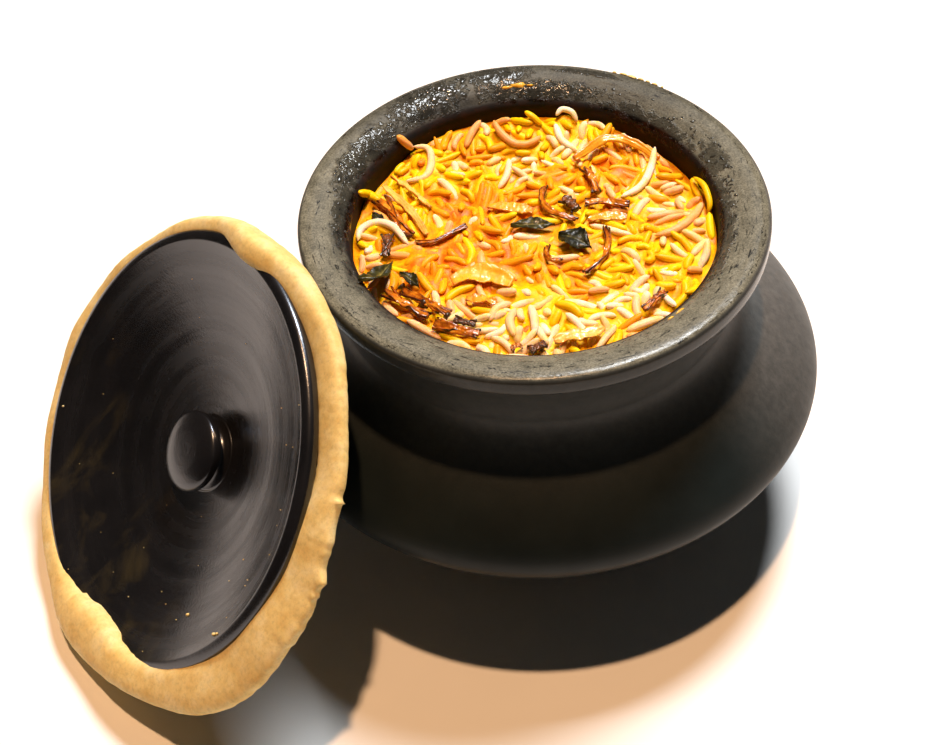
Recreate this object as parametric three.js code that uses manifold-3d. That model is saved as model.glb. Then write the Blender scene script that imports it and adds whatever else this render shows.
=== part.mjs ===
// Biryani in the round black clay pot it was steamed in, with its lid.
// The pot is full of rice, with fried onion strips and mint leaves on top.
// The lid leans on the pot's rim, and still has the strip of baked dough that sealed it.
//
// Millimetres, +Z up. The origin is the centre of the pot's flat base, on the table.
// -X is the side that the lid leans on.

import * as THREE from 'three';
import { mergeVertices } from 'three/addons/utils/BufferGeometryUtils.js';
import Module from 'manifold-3d';

const wasm = await Module();
wasm.setup();

// ---------------------------------------------------------------- driving dimensions

const GAP = 0.35;                 // clearance between neighbouring pieces
const TURNS = 40;                 // facets round the pot and the rice
const LID_TURNS = 32;             // facets round the lid

const BASE_RADIUS = 42;           // flat foot of the pot
const FOOT_FLARE = 3;
const FOOT_RISE = 14;             // how far up the foot keeps its width
const BELLY_RADIUS = 92.7;
const BELLY_HEIGHT = 52.6;
const BELLY_ROUND = 12;           // larger for a rounder belly
const NECK_RADIUS = 64;
const NECK_HEIGHT = 90;
const NECK_ROUND = 13;
const NECK_TUCK = 3;
const FLARE_DROP = 11;            // how far below the lip the neck starts to flare
const FLARE_TURN = 3;             // larger for a sharper turn under the lip
const FLARE_REACH = 2.5;
const RIM_RADIUS = 73.6;          // outside of the lip
const RIM_HEIGHT = 117;           // crest of the rim
const CREST_RADIUS = 70;
const LIP_HEIGHT = 6.6;           // crest of the rim to the lip's lower edge
const LIP_CHAMFER = 1.3;
const RIM_SLOPE = 4.2;            // fall of the rim's face from its crest to the mouth
const MOUTH_RADIUS = 57.6;
const MOUTH_ROUND = 3.4;
const MOUTH_EASE = 2;             // width of the rounded edge at the mouth
const WALL = 6;
const GROOVE_LOW = 84.2;          // the pot is made in three rings, which part at the lower
const GROOVE_HIGH = 101.8;        // and the upper edge of the groove round its neck

const RICE_EDGE = 105.4;          // level of the rice at the wall
const RICE_CROWN = 1.4;           // how much higher the middle is
const GRAINS = 126;
const GRAIN_SIDES = 5;
const GRAIN_RINGS = 3;
const GRAIN_LENGTH = [9, 15];
const GRAIN_WIDTH = [2.5, 3.1];

const LID_RADIUS = 69.9;
const LID_WALL = 5.5;
const EDGE_ROUND = 0.4;
const DISH_DEPTH = 17;            // hollow of the lid's outer face
const DISH_RADIUS = 66.5;         // where the hollow meets the edge
const KNOB_RADIUS = 13;
const KNOB_NECK = 8.2;
const KNOB_THICK = 5.6;
const KNOB_TOP = -7.4;            // knob's top, measured from the plane of the lid's edge
const LID_CENTRE = new THREE.Vector3(-120, -43.75, 65.8);
const LID_AZIMUTH = THREE.MathUtils.degToRad(206.4);
const LID_ELEVATION = THREE.MathUtils.degToRad(38.3);

const DOUGH_STEPS = 56;           // sections round the dough seal
const DOUGH_SIDES = 8;
const DOUGH_OUTER = 75.6;         // where the strip is narrowest
const DOUGH_INNER = 67.5;
const DOUGH_FRONT = -1.6;         // front and back are measured like the knob's top
const DOUGH_BACK = -10.75;
const DOUGH_FULLNESS = 0.7;       // 1 for an elliptic section, less for a squarer one

// ---------------------------------------------------------------- general helpers

function material(color, roughness) {
  return new THREE.MeshStandardMaterial({ color, roughness, metalness: 0 });
}

function randomSource(seed) {
  let state = seed;
  return (low, high) => {
    state = (state + 0x6d2b79f5) | 0;
    let t = Math.imul(state ^ (state >>> 15), 1 | state);
    t = (t + Math.imul(t ^ (t >>> 7), 61 | t)) ^ t;
    const unit = ((t ^ (t >>> 14)) >>> 0) / 4294967296;
    return low + (high - low) * unit;
  };
}

// Shares the corners of neighbouring triangles and drops the ones with no area.
function weld(geometry) {
  const bare = geometry.clone();
  bare.deleteAttribute('normal');
  bare.deleteAttribute('uv');
  const merged = mergeVertices(bare);
  const corners = merged.index.array;
  const kept = [];
  for (let i = 0; i < corners.length; i += 3) {
    const [a, b, c] = corners.slice(i, i + 3);
    if (a !== b && b !== c && c !== a) kept.push(a, b, c);
  }
  merged.setIndex(kept);
  return merged;
}

function toSolid(geometry) {
  const welded = weld(geometry);
  return new wasm.Manifold(new wasm.Mesh({
    numProp: 3,
    vertProperties: new Float32Array(welded.attributes.position.array),
    triVerts: new Uint32Array(welded.index.array),
  }));
}

function toGeometry(solid) {
  const mesh = solid.getMesh();
  const geometry = new THREE.BufferGeometry();
  geometry.setAttribute('position', new THREE.BufferAttribute(mesh.vertProperties, 3));
  geometry.setIndex(new THREE.BufferAttribute(mesh.triVerts, 1));
  return geometry;
}

// The largest closed shell, without loose scraps and sealed hollows.
function mainShell(solid) {
  const shells = solid.decompose();
  return shells.reduce((best, shell) => (shell.volume() > best.volume() ? shell : best));
}

function vectors(...xy) {
  const list = [];
  for (let i = 0; i < xy.length; i += 2) list.push(new THREE.Vector2(xy[i], xy[i + 1]));
  return list;
}

// Points of a curve with one handle, in the given number of steps.
function bend(steps, ...xy) {
  return new THREE.QuadraticBezierCurve(...vectors(...xy)).getPoints(steps);
}

// Points of a curve with two handles.
function sweep(steps, ...xy) {
  return new THREE.CubicBezierCurve(...vectors(...xy)).getPoints(steps);
}

// A solid of revolution about Z, from runs of points in (radius, height) that follow each other.
function turned(turns, ...runs) {
  const points = runs.flat().filter((point, i, all) => i === 0 || point.distanceTo(all[i - 1]) > 1e-6);
  if (THREE.ShapeUtils.area(points) < 0) points.reverse();
  const geometry = new THREE.LatheGeometry(points, turns);
  geometry.rotateX(Math.PI / 2);
  geometry.rotateZ(Math.PI / 2);
  return weld(geometry);
}

// A thin closed solid. place(u, v, side) gives a point of its upper (1) or lower (-1) face,
// and both faces are split into triangles alike.
function slab(stepsU, stepsV, place) {
  const points = [];
  const index = [];
  const row = stepsV + 1;
  const faceSize = (stepsU + 1) * row;
  for (const side of [1, -1]) {
    for (let i = 0; i <= stepsU; i += 1) {
      for (let j = 0; j <= stepsV; j += 1) {
        points.push(...place(i / stepsU, j / stepsV, side).toArray());
      }
    }
  }
  for (let i = 0; i < stepsU; i += 1) {
    for (let j = 0; j < stepsV; j += 1) {
      const a = i * row + j;
      const [b, c, d] = [a + row, a + row + 1, a + 1];
      index.push(a, b, c, a, c, d);
      index.push(a + faceSize, c + faceSize, b + faceSize, a + faceSize, d + faceSize, c + faceSize);
    }
  }
  const wall = (from, to) => {
    index.push(from, from + faceSize, to + faceSize, from, to + faceSize, to);
  };
  for (let i = 0; i < stepsU; i += 1) {
    wall(i * row, (i + 1) * row);
    wall((i + 1) * row + stepsV, i * row + stepsV);
  }
  for (let j = 0; j < stepsV; j += 1) {
    wall(j + 1, j);
    wall(stepsU * row + j, stepsU * row + j + 1);
  }
  const geometry = new THREE.BufferGeometry();
  geometry.setAttribute('position', new THREE.Float32BufferAttribute(points, 3));
  geometry.setIndex(index);
  return geometry;
}

const biryani = new THREE.Group();

function addPart(name, geometry, look, parent = biryani) {
  const mesh = new THREE.Mesh(geometry, look);
  mesh.name = name;
  parent.add(mesh);
  return mesh;
}

// ---------------------------------------------------------------- pot

// The pot's wall from foot to neck, at a depth inwards from its outside.
function bodyRun(depth, lowSteps, highSteps) {
  const foot = BASE_RADIUS - depth / 2;
  const belly = BELLY_RADIUS - depth;
  const neck = NECK_RADIUS - depth;
  const low = BELLY_HEIGHT - BELLY_ROUND;
  const high = BELLY_HEIGHT + BELLY_ROUND;
  const tuck = NECK_HEIGHT - NECK_ROUND;
  return [
    ...sweep(lowSteps, foot, depth, foot + FOOT_FLARE, FOOT_RISE + depth, belly, low, belly, BELLY_HEIGHT),
    ...sweep(highSteps, belly, BELLY_HEIGHT, belly, high, neck - NECK_TUCK, tuck, neck, NECK_HEIGHT),
  ];
}

// The neck opens out to the lip's lower edge.
function neckFlare(lipRadius, lipHeight) {
  const [start, turn] = [lipHeight - FLARE_DROP, lipHeight - FLARE_TURN];
  const reach = NECK_RADIUS + FLARE_REACH;
  return sweep(4, NECK_RADIUS, NECK_HEIGHT, NECK_RADIUS, start, reach, turn, lipRadius, lipHeight);
}

// The pot's outside from the foot up to the crest of the rim.
function potOutside() {
  const lipLow = RIM_HEIGHT - LIP_HEIGHT;
  const lipTop = RIM_HEIGHT - LIP_HEIGHT / 3;
  return [
    ...bodyRun(0, 5, 6),
    ...neckFlare(RIM_RADIUS - LIP_CHAMFER, lipLow),
    ...vectors(RIM_RADIUS, lipLow + LIP_CHAMFER),
    ...bend(2, RIM_RADIUS, lipTop, RIM_RADIUS, RIM_HEIGHT, CREST_RADIUS, RIM_HEIGHT),
  ];
}

// The pot's inside from the floor up over the mouth and the rim's sloping face.
function potInside() {
  const shoulder = RIM_HEIGHT - RIM_SLOPE;
  const seat = MOUTH_RADIUS + MOUTH_EASE;
  const mouth = shoulder - MOUTH_ROUND;
  return [
    ...bodyRun(WALL, 4, 4),
    ...bend(2, MOUTH_RADIUS, mouth, MOUTH_RADIUS, shoulder - MOUTH_ROUND / 3, seat, shoulder),
    ...bend(3, seat, shoulder, (CREST_RADIUS + seat) / 2, RIM_HEIGHT, CREST_RADIUS, RIM_HEIGHT),
  ];
}

// The point of a rising run at a height.
function pointAt(run, height) {
  const next = run.findIndex(({ y }) => y >= height - 1e-6);
  const [below, above] = [run[next - 1], run[next]];
  return below.clone().lerp(above, (height - below.y) / (above.y - below.y));
}

// The stretch of a rising run between two heights.
function between(run, low, high) {
  return [pointAt(run, low), ...run.filter(({ y }) => y > low && y < high), pointAt(run, high)];
}

function potBodyGeometry() {
  const below = (run) => [...run.filter(({ y }) => y < GROOVE_LOW), pointAt(run, GROOVE_LOW)];
  const inside = below(potInside());
  return turned(TURNS, vectors(0, 0), below(potOutside()), inside.reverse(), vectors(0, WALL));
}

// A ring of the pot's wall between two heights.
function potRing(low, high) {
  const outside = between(potOutside(), low, high);
  const inside = between(potInside(), low, high);
  return turned(TURNS, outside, inside.reverse(), outside.slice(0, 1));
}

// ---------------------------------------------------------------- lid

function dishHeight(radius) {
  return -EDGE_ROUND - DISH_DEPTH * (1 - (radius / DISH_RADIUS) ** 2);
}

// Points of the dished face, or of the back when drop is the wall's thickness.
function dishRun(from, to, steps, drop) {
  const run = [];
  for (let i = 0; i <= steps; i += 1) {
    const radius = from + ((to - from) * i) / steps;
    run.push(new THREE.Vector2(radius, dishHeight(radius) - drop));
  }
  return run;
}

// The lid with its knob, thickened by grow on every side.
function lidGeometry(grow) {
  const edge = LID_RADIUS + grow;
  const crest = grow - EDGE_ROUND;
  const back = dishHeight(DISH_RADIUS) - LID_WALL - grow;
  const neck = KNOB_NECK + grow;
  const knob = KNOB_RADIUS + grow;
  const top = KNOB_TOP + grow;
  const under = KNOB_TOP - KNOB_THICK - grow;
  const middle = (top + under) / 2;
  const rootRadius = KNOB_NECK * 1.5;
  const root = dishHeight(rootRadius) + grow;
  return turned(
    LID_TURNS,
    dishRun(0, DISH_RADIUS, 4, LID_WALL + grow),
    bend(2, DISH_RADIUS, back, edge, back, edge, back / 2),
    bend(2, edge, back / 2, edge, crest, DISH_RADIUS, crest),
    dishRun(DISH_RADIUS, rootRadius, 5, -grow),
    bend(2, rootRadius, root, neck, root, neck, under),
    bend(2, knob - KNOB_THICK / 3, under, knob, under, knob, middle),
    bend(3, knob, middle, knob, top, 0, top),
  );
}

const lid = new THREE.Group();
lid.position.copy(LID_CENTRE);
lid.rotation.set(0, Math.PI / 2 - LID_ELEVATION, LID_AZIMUTH, 'ZYX');
lid.updateMatrixWorld();
biryani.add(lid);

// ---------------------------------------------------------------- dough seal

// Angles on the lid run from its lowest point (0) over its near side (90) to its top (180).
// Each swelling grows by so many millimetres at an angle, and fades over so many degrees.
const OUTER_SWELLINGS = [
  { by: 1.8, at: 0, over: 28 },
  { by: 7.4, at: 60, over: 27 },      // the strip's wide flat part
  { by: 6.6, at: 92, over: 24 },
  { by: 3, at: 145, over: 25 },
  { by: -1.6, at: 235, over: 30 },
  { by: 2, at: 285, over: 18 },
];
const INNER_SWELLINGS = [
  { by: -5, at: 12, over: 28 },       // laps over the lid's lower edge
  { by: -2.5, at: 190, over: 11 },    // laps over its top
];
const FRONT_SWELLINGS = [
  { by: 5.4, at: 12, over: 34 },
  { by: -3, at: 135, over: 35 },      // leaves the lid's side bare
  { by: 3.6, at: 190, over: 12 },
];
const LUMPS = { by: 0.5, waves: 7, from: 20 };
const RIPPLE = { by: 0.35, waves: 13, from: 75 };

function swelling(list, angle) {
  return list.reduce((sum, { by, at, over }) => {
    const away = THREE.MathUtils.euclideanModulo(angle - at + 180, 360) - 180;
    return sum + by * Math.exp(-((away / over) ** 2));
  }, 0);
}

function wave({ by, waves, from }, angle) {
  return by * Math.sin(THREE.MathUtils.degToRad(angle * waves + from));
}

// A point of the strip's surface, on a rounded section with fuller corners than an ellipse.
function doughPoint(turn, around) {
  const angle = turn * 360;
  const ripple = wave(RIPPLE, angle);
  const outer = DOUGH_OUTER + swelling(OUTER_SWELLINGS, angle) + wave(LUMPS, angle);
  const inner = DOUGH_INNER + swelling(INNER_SWELLINGS, angle);
  const front = DOUGH_FRONT + swelling(FRONT_SWELLINGS, angle) + ripple;
  const back = DOUGH_BACK + ripple;
  const fuller = (value) => Math.sign(value) * Math.abs(value) ** DOUGH_FULLNESS;
  const radius = (outer + inner) / 2 + ((outer - inner) / 2) * fuller(Math.cos(around));
  const height = (front + back) / 2 + ((front - back) / 2) * fuller(Math.sin(around));
  const direction = THREE.MathUtils.degToRad(angle);
  return new THREE.Vector3(radius * Math.cos(direction), radius * Math.sin(direction), height);
}

// Torn tips of the dough: angle round the lid, radius, height, length, and lean in degrees.
const TORN_TIPS = [
  { angle: 116, radius: 77, height: -8.5, length: 7, lean: 35 },
  { angle: 96, radius: 82, height: -7.5, length: 6, lean: 50 },
  { angle: 84, radius: 70.6, height: -3.2, length: 6.5, lean: -60 },
  { angle: 104, radius: 72, height: -5, length: 5.5, lean: 75 },
  { angle: 22, radius: 67, height: 2.2, length: 5, lean: -90 },
];

function tornTip({ angle, radius, height, length, lean }) {
  const tip = new THREE.ConeGeometry(length * 0.38, length, 5);
  tip.translate(0, length * 0.3, 0);
  tip.rotateZ(THREE.MathUtils.degToRad(-90 + lean));
  tip.translate(radius, 0, height);
  tip.rotateZ(THREE.MathUtils.degToRad(angle));
  return toSolid(tip);
}

function doughGeometry() {
  const ring = new THREE.TorusGeometry(1, 0.5, DOUGH_SIDES, DOUGH_STEPS);
  const position = ring.attributes.position;
  const uv = ring.attributes.uv;
  for (let i = 0; i < position.count; i += 1) {
    const point = doughPoint(uv.getX(i), uv.getY(i) * 2 * Math.PI);
    position.setXYZ(i, point.x, point.y, point.z);
  }
  let dough = toSolid(ring);
  for (const tip of TORN_TIPS) dough = dough.add(tornTip(tip));
  const table = new THREE.BoxGeometry(400, 400, 100);
  table.translate(LID_CENTRE.x, LID_CENTRE.y, -50);
  table.applyMatrix4(lid.matrixWorld.clone().invert());
  const pressed = dough.subtract(toSolid(lidGeometry(GAP))).subtract(toSolid(table));
  return toGeometry(mainShell(pressed));
}

// ---------------------------------------------------------------- toppings

function riceLevel(x, y) {
  return RICE_EDGE + RICE_CROWN * (1 - (x * x + y * y) / MOUTH_RADIUS ** 2);
}

// A curve over the rice. Each point is [x, y, height above the rice].
function pathOverRice(points) {
  const lifted = points.map(([x, y, lift = 0]) => new THREE.Vector3(x, y, riceLevel(x, y) + lift));
  return new THREE.CatmullRomCurve3(lifted, false, 'centripetal');
}

// A fried strip: it tapers to its ends, curls up at its long edges and rolls to one side.
// grow thickens it on every side, for the room that the grains leave round it.
function ribbonGeometry({ points, width, thick, curl = 0.25, roll = 0, steps = 7 }, grow = 0) {
  const path = pathOverRice(points);
  const tilt = THREE.MathUtils.degToRad(roll);
  const rise = GAP + thick / 2 + Math.abs(Math.sin(tilt)) * width / 2;
  return slab(steps, 2, (u, v, side) => {
    const centre = path.getPointAt(u);
    const tangent = path.getTangentAt(u);
    const flat = new THREE.Vector3(-tangent.y, tangent.x, 0).normalize();
    const across = flat.clone().applyAxisAngle(tangent, tilt);
    const up = tangent.clone().cross(across);
    const taper = 0.35 + 0.65 * Math.sin(Math.PI * (0.08 + 0.84 * u)) ** 0.6;
    const reach = (v - 0.5) * (width * taper + 2 * grow);
    const cup = curl * width * taper * (2 * v - 1) ** 2 * 0.5;
    centre.z += rise;
    centre.addScaledVector(tangent, (u - 0.5) * 2 * grow);
    return centre.addScaledVector(across, reach).addScaledVector(up, cup + side * (thick / 2 + grow));
  });
}

// A leaf: pointed ends, a fold along its midrib and a wave along its edges.
function leafGeometry({ points, width, thick, fold = 0.25, wave = 0.5 }, grow = 0) {
  const path = pathOverRice(points);
  const rise = GAP + thick / 2 + wave;
  return slab(6, 2, (u, v, side) => {
    const centre = path.getPointAt(u);
    const tangent = path.getTangentAt(u);
    const across = new THREE.Vector3(-tangent.y, tangent.x, 0).normalize();
    const half = width / 2 * (0.12 + 0.88 * Math.sin(Math.PI * u ** 0.85) ** 0.8) + grow;
    const edge = 2 * v - 1;
    const up = Math.abs(edge) * half * fold + wave * Math.sin(9 * u + 2 * edge) * Math.abs(edge);
    centre.addScaledVector(across, edge * half);
    centre.z += rise + up + side * (thick / 2 + grow);
    return centre;
  });
}

const ONION_BROWN = material('#a8501c', 0.35);
const ONION_PALE = material('#eab95c', 0.35);
const ONION_BURNT = material('#4a2412', 0.45);
const LEAF_DARK = material('#2a2c14', 0.4);

const ONIONS = {
  onion_arch: {
    look: ONION_BROWN, width: 3.8, thick: 1.3, roll: 35, steps: 10,
    points: [[15.2, 30.8, 1], [19.1, 34, 1.4], [22.7, 37, 1.6], [27, 38.9, 1.7], [31.4, 38.6, 1.6],
      [36.4, 36.2, 1.3], [40.2, 32.4, 0.8], [42.5, 29.5, 0.4]],
  },
  onion_glossy: {
    look: ONION_BROWN, width: 3, thick: 1.3, roll: -20,
    points: [[18.4, 26.6, 1], [19.6, 23.6, 1.2], [20.6, 19.6, 1], [21.1, 14.6, 0.6]],
  },
  onion_flat: {
    look: ONION_BROWN, width: 4.4, thick: 1.1,
    points: [[-13.8, 12.3, 0.2], [-8.6, 11.2, 0.4], [-3.6, 9.8, 0.5], [0.4, 8.4, 0.2]],
  },
  onion_hook: {
    look: ONION_BROWN, width: 2.4, thick: 1.2, roll: 30, steps: 10,
    points: [[4.6, 18.6, 0.6], [3.5, 12.6, 0.8], [5.6, 7.2, 0.8], [9, 4.6, 0.8], [13.4, 2.4, 0.4]],
  },
  onion_chunk: {
    look: ONION_BURNT, width: 4, thick: 2.2, roll: 15, steps: 5,
    points: [[10.6, 12.4, 0.4], [12.4, 9.4, 0.8], [14, 6.6, 0.4]],
  },
  onion_right: {
    look: ONION_BROWN, width: 3, thick: 1.3, roll: 18,
    points: [[17, 10.4, 0.4], [21.2, 10.2, 0.8], [25.6, 9.2, 0.8], [31, 8.4, 0.4]],
  },
  onion_flap: {
    look: ONION_PALE, width: 4, thick: 1,
    points: [[17.6, 2.8, 0.2], [21, 3.6, 0.4], [25.2, 3.9, 0.4], [29.6, 3.2, 0.2]],
  },
  onion_tail: {
    look: ONION_BROWN, width: 1.9, thick: 1.1, roll: 35, steps: 8,
    points: [[22.6, -1.6, 0.4], [22.6, -9, 0.8], [20.6, -15.4, 0.8], [17.6, -18.8, 0.7],
      [14.2, -21.4, 0.4]],
  },
  onion_curl: {
    look: ONION_BROWN, width: 1.8, thick: 1.1, roll: 30, steps: 7,
    points: [[3.6, -8.6, 0.3], [3.1, -12.2, 0.6], [4.4, -15, 0.6], [7.2, -15.2, 0.3]],
  },
  onion_left: {
    look: ONION_BROWN, width: 4, thick: 1.3, steps: 8,
    points: [[-48.6, 19.8, 0.2], [-45, 14, 0.7], [-42, 6.6, 0.7], [-39.2, 0.6, 0.3]],
  },
  onion_left_tail: {
    look: ONION_BROWN, width: 1.8, thick: 1.1, steps: 8,
    points: [[-37, -2.4, 0.3], [-32.1, -2.6, 0.6], [-27.3, -0.4, 0.6], [-20.9, 3.5, 0.3]],
  },
  onion_pale_left: {
    look: ONION_PALE, width: 2.8, thick: 1, roll: 15, steps: 9,
    points: [[-46.8, 26.2, 0.4], [-43.4, 20.4, 0.7], [-39.6, 14.6, 0.8], [-36.2, 7.9, 0.8],
      [-33.6, 0.8, 0.3]],
  },
  onion_pale_upper: {
    look: ONION_PALE, width: 2.6, thick: 1, roll: -15,
    points: [[-44.2, 30.4, 0.4], [-39.8, 24.8, 0.8], [-36, 19.2, 0.7], [-32, 13.6, 0.3]],
  },
  onion_dark_strip: {
    look: ONION_BURNT, width: 3.2, thick: 1.2, steps: 5,
    points: [[-46, 2.6, 0.2], [-46.2, -2.6, 0.5], [-46.9, -7, 0.2]],
  },
  onion_clump_upper: {
    look: ONION_BROWN, width: 3.8, thick: 1.3, roll: -18,
    points: [[-46.8, -23, 0.4], [-43.4, -27.4, 0.9], [-39.4, -31.6, 0.8], [-34.4, -35.6, 0.4]],
  },
  onion_clump_middle: {
    look: ONION_BROWN, width: 3, thick: 1.2, roll: 18,
    points: [[-41.6, -23.4, 0.4], [-37.4, -27.4, 1], [-32.8, -31.2, 1], [-27.8, -34.8, 0.4]],
  },
  onion_clump_lower: {
    look: ONION_BROWN, width: 3.8, thick: 1.3, roll: 20,
    points: [[-32.4, -38.2, 0.4], [-28.2, -41, 0.8], [-24, -42.9, 0.8], [-19.4, -44.2, 0.4]],
  },
  onion_clump_edge: {
    look: ONION_BURNT, width: 2.8, thick: 1.4, steps: 5,
    points: [[-26.6, -37.2, 0.3], [-23.4, -38.7, 0.6], [-20.2, -39.6, 0.3]],
  },
  onion_bottom: {
    look: ONION_PALE, width: 5, thick: 1.3, roll: 12,
    points: [[2.6, -48.6, 0.2], [7.4, -47.7, 0.7], [12.8, -47.1, 0.7], [17.5, -44.5, 0.2]],
  },
  onion_burnt: {
    look: ONION_BURNT, width: 3, thick: 1.6, steps: 5,
    points: [[-4.8, -51.8, 0.3], [-2.6, -51, 0.8], [0, -49.8, 0.3]],
  },
  onion_bottom_curl: {
    look: ONION_BROWN, width: 1.8, thick: 1.2, roll: 20, steps: 5,
    points: [[-10.2, -51, 0.2], [-8.8, -49.4, 0.6], [-7, -50, 0.2]],
  },
  onion_pale_layer: {
    look: ONION_PALE, width: 7, thick: 1.1, curl: 0.35,
    points: [[-26.6, -20.6, 0.2], [-21.2, -18.9, 0.5], [-14.8, -19.3, 0.5], [-8.3, -23.2, 0.2]],
  },
  onion_speckled: {
    look: ONION_PALE, width: 4.4, thick: 1, steps: 5,
    points: [[-22.6, -28.4, 0.1], [-18.4, -29.3, 0.4], [-13.6, -30.6, 0.1]],
  },
  onion_bit: {
    look: ONION_BROWN, width: 2.4, thick: 1.2, steps: 5,
    points: [[37.4, -30.1, 0.1], [34.6, -33.5, 0.5], [30.5, -37.6, 0.1]],
  },
};

const LEAVES = {
  leaf_middle: { width: 5.2, thick: 0.6, points: [[-7.2, 2.8], [-3.2, 2, 0.6], [2, 1.4, 0.6], [6.8, 1.4]] },
  leaf_dark: { width: 9, thick: 0.6, wave: 0.8, points: [[8.8, -2.2], [12.6, -6.8, 1], [15.4, -12.4]] },
  leaf_small: { width: 3.2, thick: 0.6, points: [[-50.8, 14], [-48.8, 10.8, 0.5], [-46.8, 7.4]] },
  leaf_crisp: {
    width: 6, thick: 0.8, fold: 0.35, wave: 0.7,
    points: [[-54.8, -24.6, 8], [-51.6, -22.6, 6.4], [-48.8, -18.3, 2.4], [-46.4, -13.5, 1.2], [-44.6, -10]],
  },
  leaf_crumpled: {
    width: 4.2, thick: 0.7, fold: 0.4, wave: 0.7,
    points: [[-42.6, -15.6], [-40, -18, 0.7], [-36.6, -22.2]],
  },
};

// ---------------------------------------------------------------- rice

// A cooked grain lying at (x, y), half sunk in the rice and clear of the pot's wall.
function grainSolid(random, x, y) {
  const length = random(...GRAIN_LENGTH);
  const width = random(...GRAIN_WIDTH);
  const bow = random(-1.4, 1.4);
  const grain = new THREE.SphereGeometry(1, GRAIN_SIDES, GRAIN_RINGS);
  grain.rotateZ(Math.PI / 2);
  grain.scale(length / 2, width / 2, width / 2);
  const position = grain.attributes.position;
  for (let i = 0; i < position.count; i += 1) {
    const along = (2 * position.getX(i)) / length;
    position.setY(i, position.getY(i) + bow * (0.5 - along * along));
  }
  grain.rotateX(random(0, Math.PI));
  grain.rotateY(random(-0.22, 0.22));
  grain.rotateZ(random(0, Math.PI));
  grain.translate(x, y, riceLevel(x, y) + random(0.1, 1.1));
  const limit = MOUTH_RADIUS - 3 * GAP;
  for (let pass = 0; pass < 3; pass += 1) {
    let reach = 0;
    for (let i = 0; i < position.count; i += 1) {
      reach = Math.max(reach, Math.hypot(position.getX(i), position.getY(i)));
    }
    const inward = Math.max(0, reach - limit) / Math.hypot(x, y);
    grain.translate(-x * inward, -y * inward, 0);
  }
  return toSolid(grain);
}

// The rice up to its level, with loose grains on top. keptClear holds the room of each topping.
function riceGeometry(keptClear) {
  const crown = [];
  const rings = 4;
  const edge = MOUTH_RADIUS - GAP;
  for (let i = 0; i <= rings; i += 1) {
    crown.push(new THREE.Vector2((edge * i) / rings, riceLevel((edge * i) / rings, 0)));
  }
  let rice = toSolid(turned(TURNS, crown, bodyRun(WALL + GAP, 4, 4).reverse(), vectors(0, WALL + GAP)));
  const random = randomSource(41);
  const spread = MOUTH_RADIUS - 2;
  const goldenAngle = Math.PI * (3 - Math.sqrt(5));
  for (let i = 0; i < GRAINS; i += 1) {
    const radius = spread * Math.sqrt((i + 0.5) / GRAINS);
    const angle = i * goldenAngle + random(-0.2, 0.2);
    const grain = grainSolid(random, radius * Math.cos(angle), radius * Math.sin(angle));
    if (keptClear.every((room) => room.intersect(grain).isEmpty())) rice = rice.add(grain);
  }
  return toGeometry(mainShell(rice));
}

// ---------------------------------------------------------------- assembly

const clay = material('#20211f', 0.38);
addPart('pot_body', potBodyGeometry(), clay.clone());
addPart('pot_neck', potRing(GROOVE_LOW + GAP, GROOVE_HIGH), clay.clone());
addPart('pot_rim', potRing(GROOVE_HIGH + GAP, RIM_HEIGHT), clay.clone());
addPart('lid', lidGeometry(0), material('#1c1c1c', 0.35), lid);
addPart('dough_seal', doughGeometry(), material('#dcab69', 0.75), lid);

const rooms = [];
for (const [name, strip] of Object.entries(ONIONS)) {
  addPart(name, ribbonGeometry(strip), strip.look);
  rooms.push(toSolid(ribbonGeometry(strip, GAP)));
}
for (const [name, leaf] of Object.entries(LEAVES)) {
  addPart(name, leafGeometry(leaf), LEAF_DARK);
  rooms.push(toSolid(leafGeometry(leaf, GAP)));
}
addPart('rice', riceGeometry(rooms), material('#f3b53a', 0.45));

export default biryani;
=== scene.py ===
import math

import bpy
import numpy as np
from mathutils import Matrix, Vector


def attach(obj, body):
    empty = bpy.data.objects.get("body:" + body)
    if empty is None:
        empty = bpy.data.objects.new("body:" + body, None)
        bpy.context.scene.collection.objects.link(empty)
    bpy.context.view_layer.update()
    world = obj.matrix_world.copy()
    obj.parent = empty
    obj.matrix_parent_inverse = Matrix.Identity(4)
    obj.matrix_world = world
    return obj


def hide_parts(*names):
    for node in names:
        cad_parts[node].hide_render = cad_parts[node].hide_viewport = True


# Biryani in a round black clay pot, with its lid and the baked dough that sealed it.
# Lengths are in millimetres until a mesh is made. The pot's foot stands at the origin.

MM = 0.001
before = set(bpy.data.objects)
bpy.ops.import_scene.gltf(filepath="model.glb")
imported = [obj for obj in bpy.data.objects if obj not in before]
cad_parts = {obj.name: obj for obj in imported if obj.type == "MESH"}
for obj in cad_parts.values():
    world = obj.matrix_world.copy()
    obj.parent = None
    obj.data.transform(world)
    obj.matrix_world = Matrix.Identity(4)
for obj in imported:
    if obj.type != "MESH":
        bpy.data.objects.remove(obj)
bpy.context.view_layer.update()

# ---------------- dimensions, as in the frame

BASE_RADIUS, FOOT_FLARE, FOOT_RISE = 42, 3, 14
BELLY_RADIUS, BELLY_HEIGHT, BELLY_ROUND = 92.7, 52.6, 12
NECK_RADIUS, NECK_HEIGHT, NECK_ROUND, NECK_TUCK = 64, 90, 13, 3
LIP_RADIUS, LIP_LOW = 72.3, 110.4
RIM_RADIUS, RIM_HEIGHT, CREST_RADIUS = 73.6, 117, 70
SIDE_LOW, SIDE_HIGH = 111.7, 114.8
FACE_RADIUS, FACE_HEIGHT = 59.6, 112.8
MOUTH_RADIUS, MOUTH_HEIGHT, MOUTH_BEND = 57.6, 109.4, 111.7
WALL = 6
RICE_EDGE, RICE_CROWN = 105.4, 1.4
HEAP, HEAP_START, HEAP_RUN = 2.8, 36, 14

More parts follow.
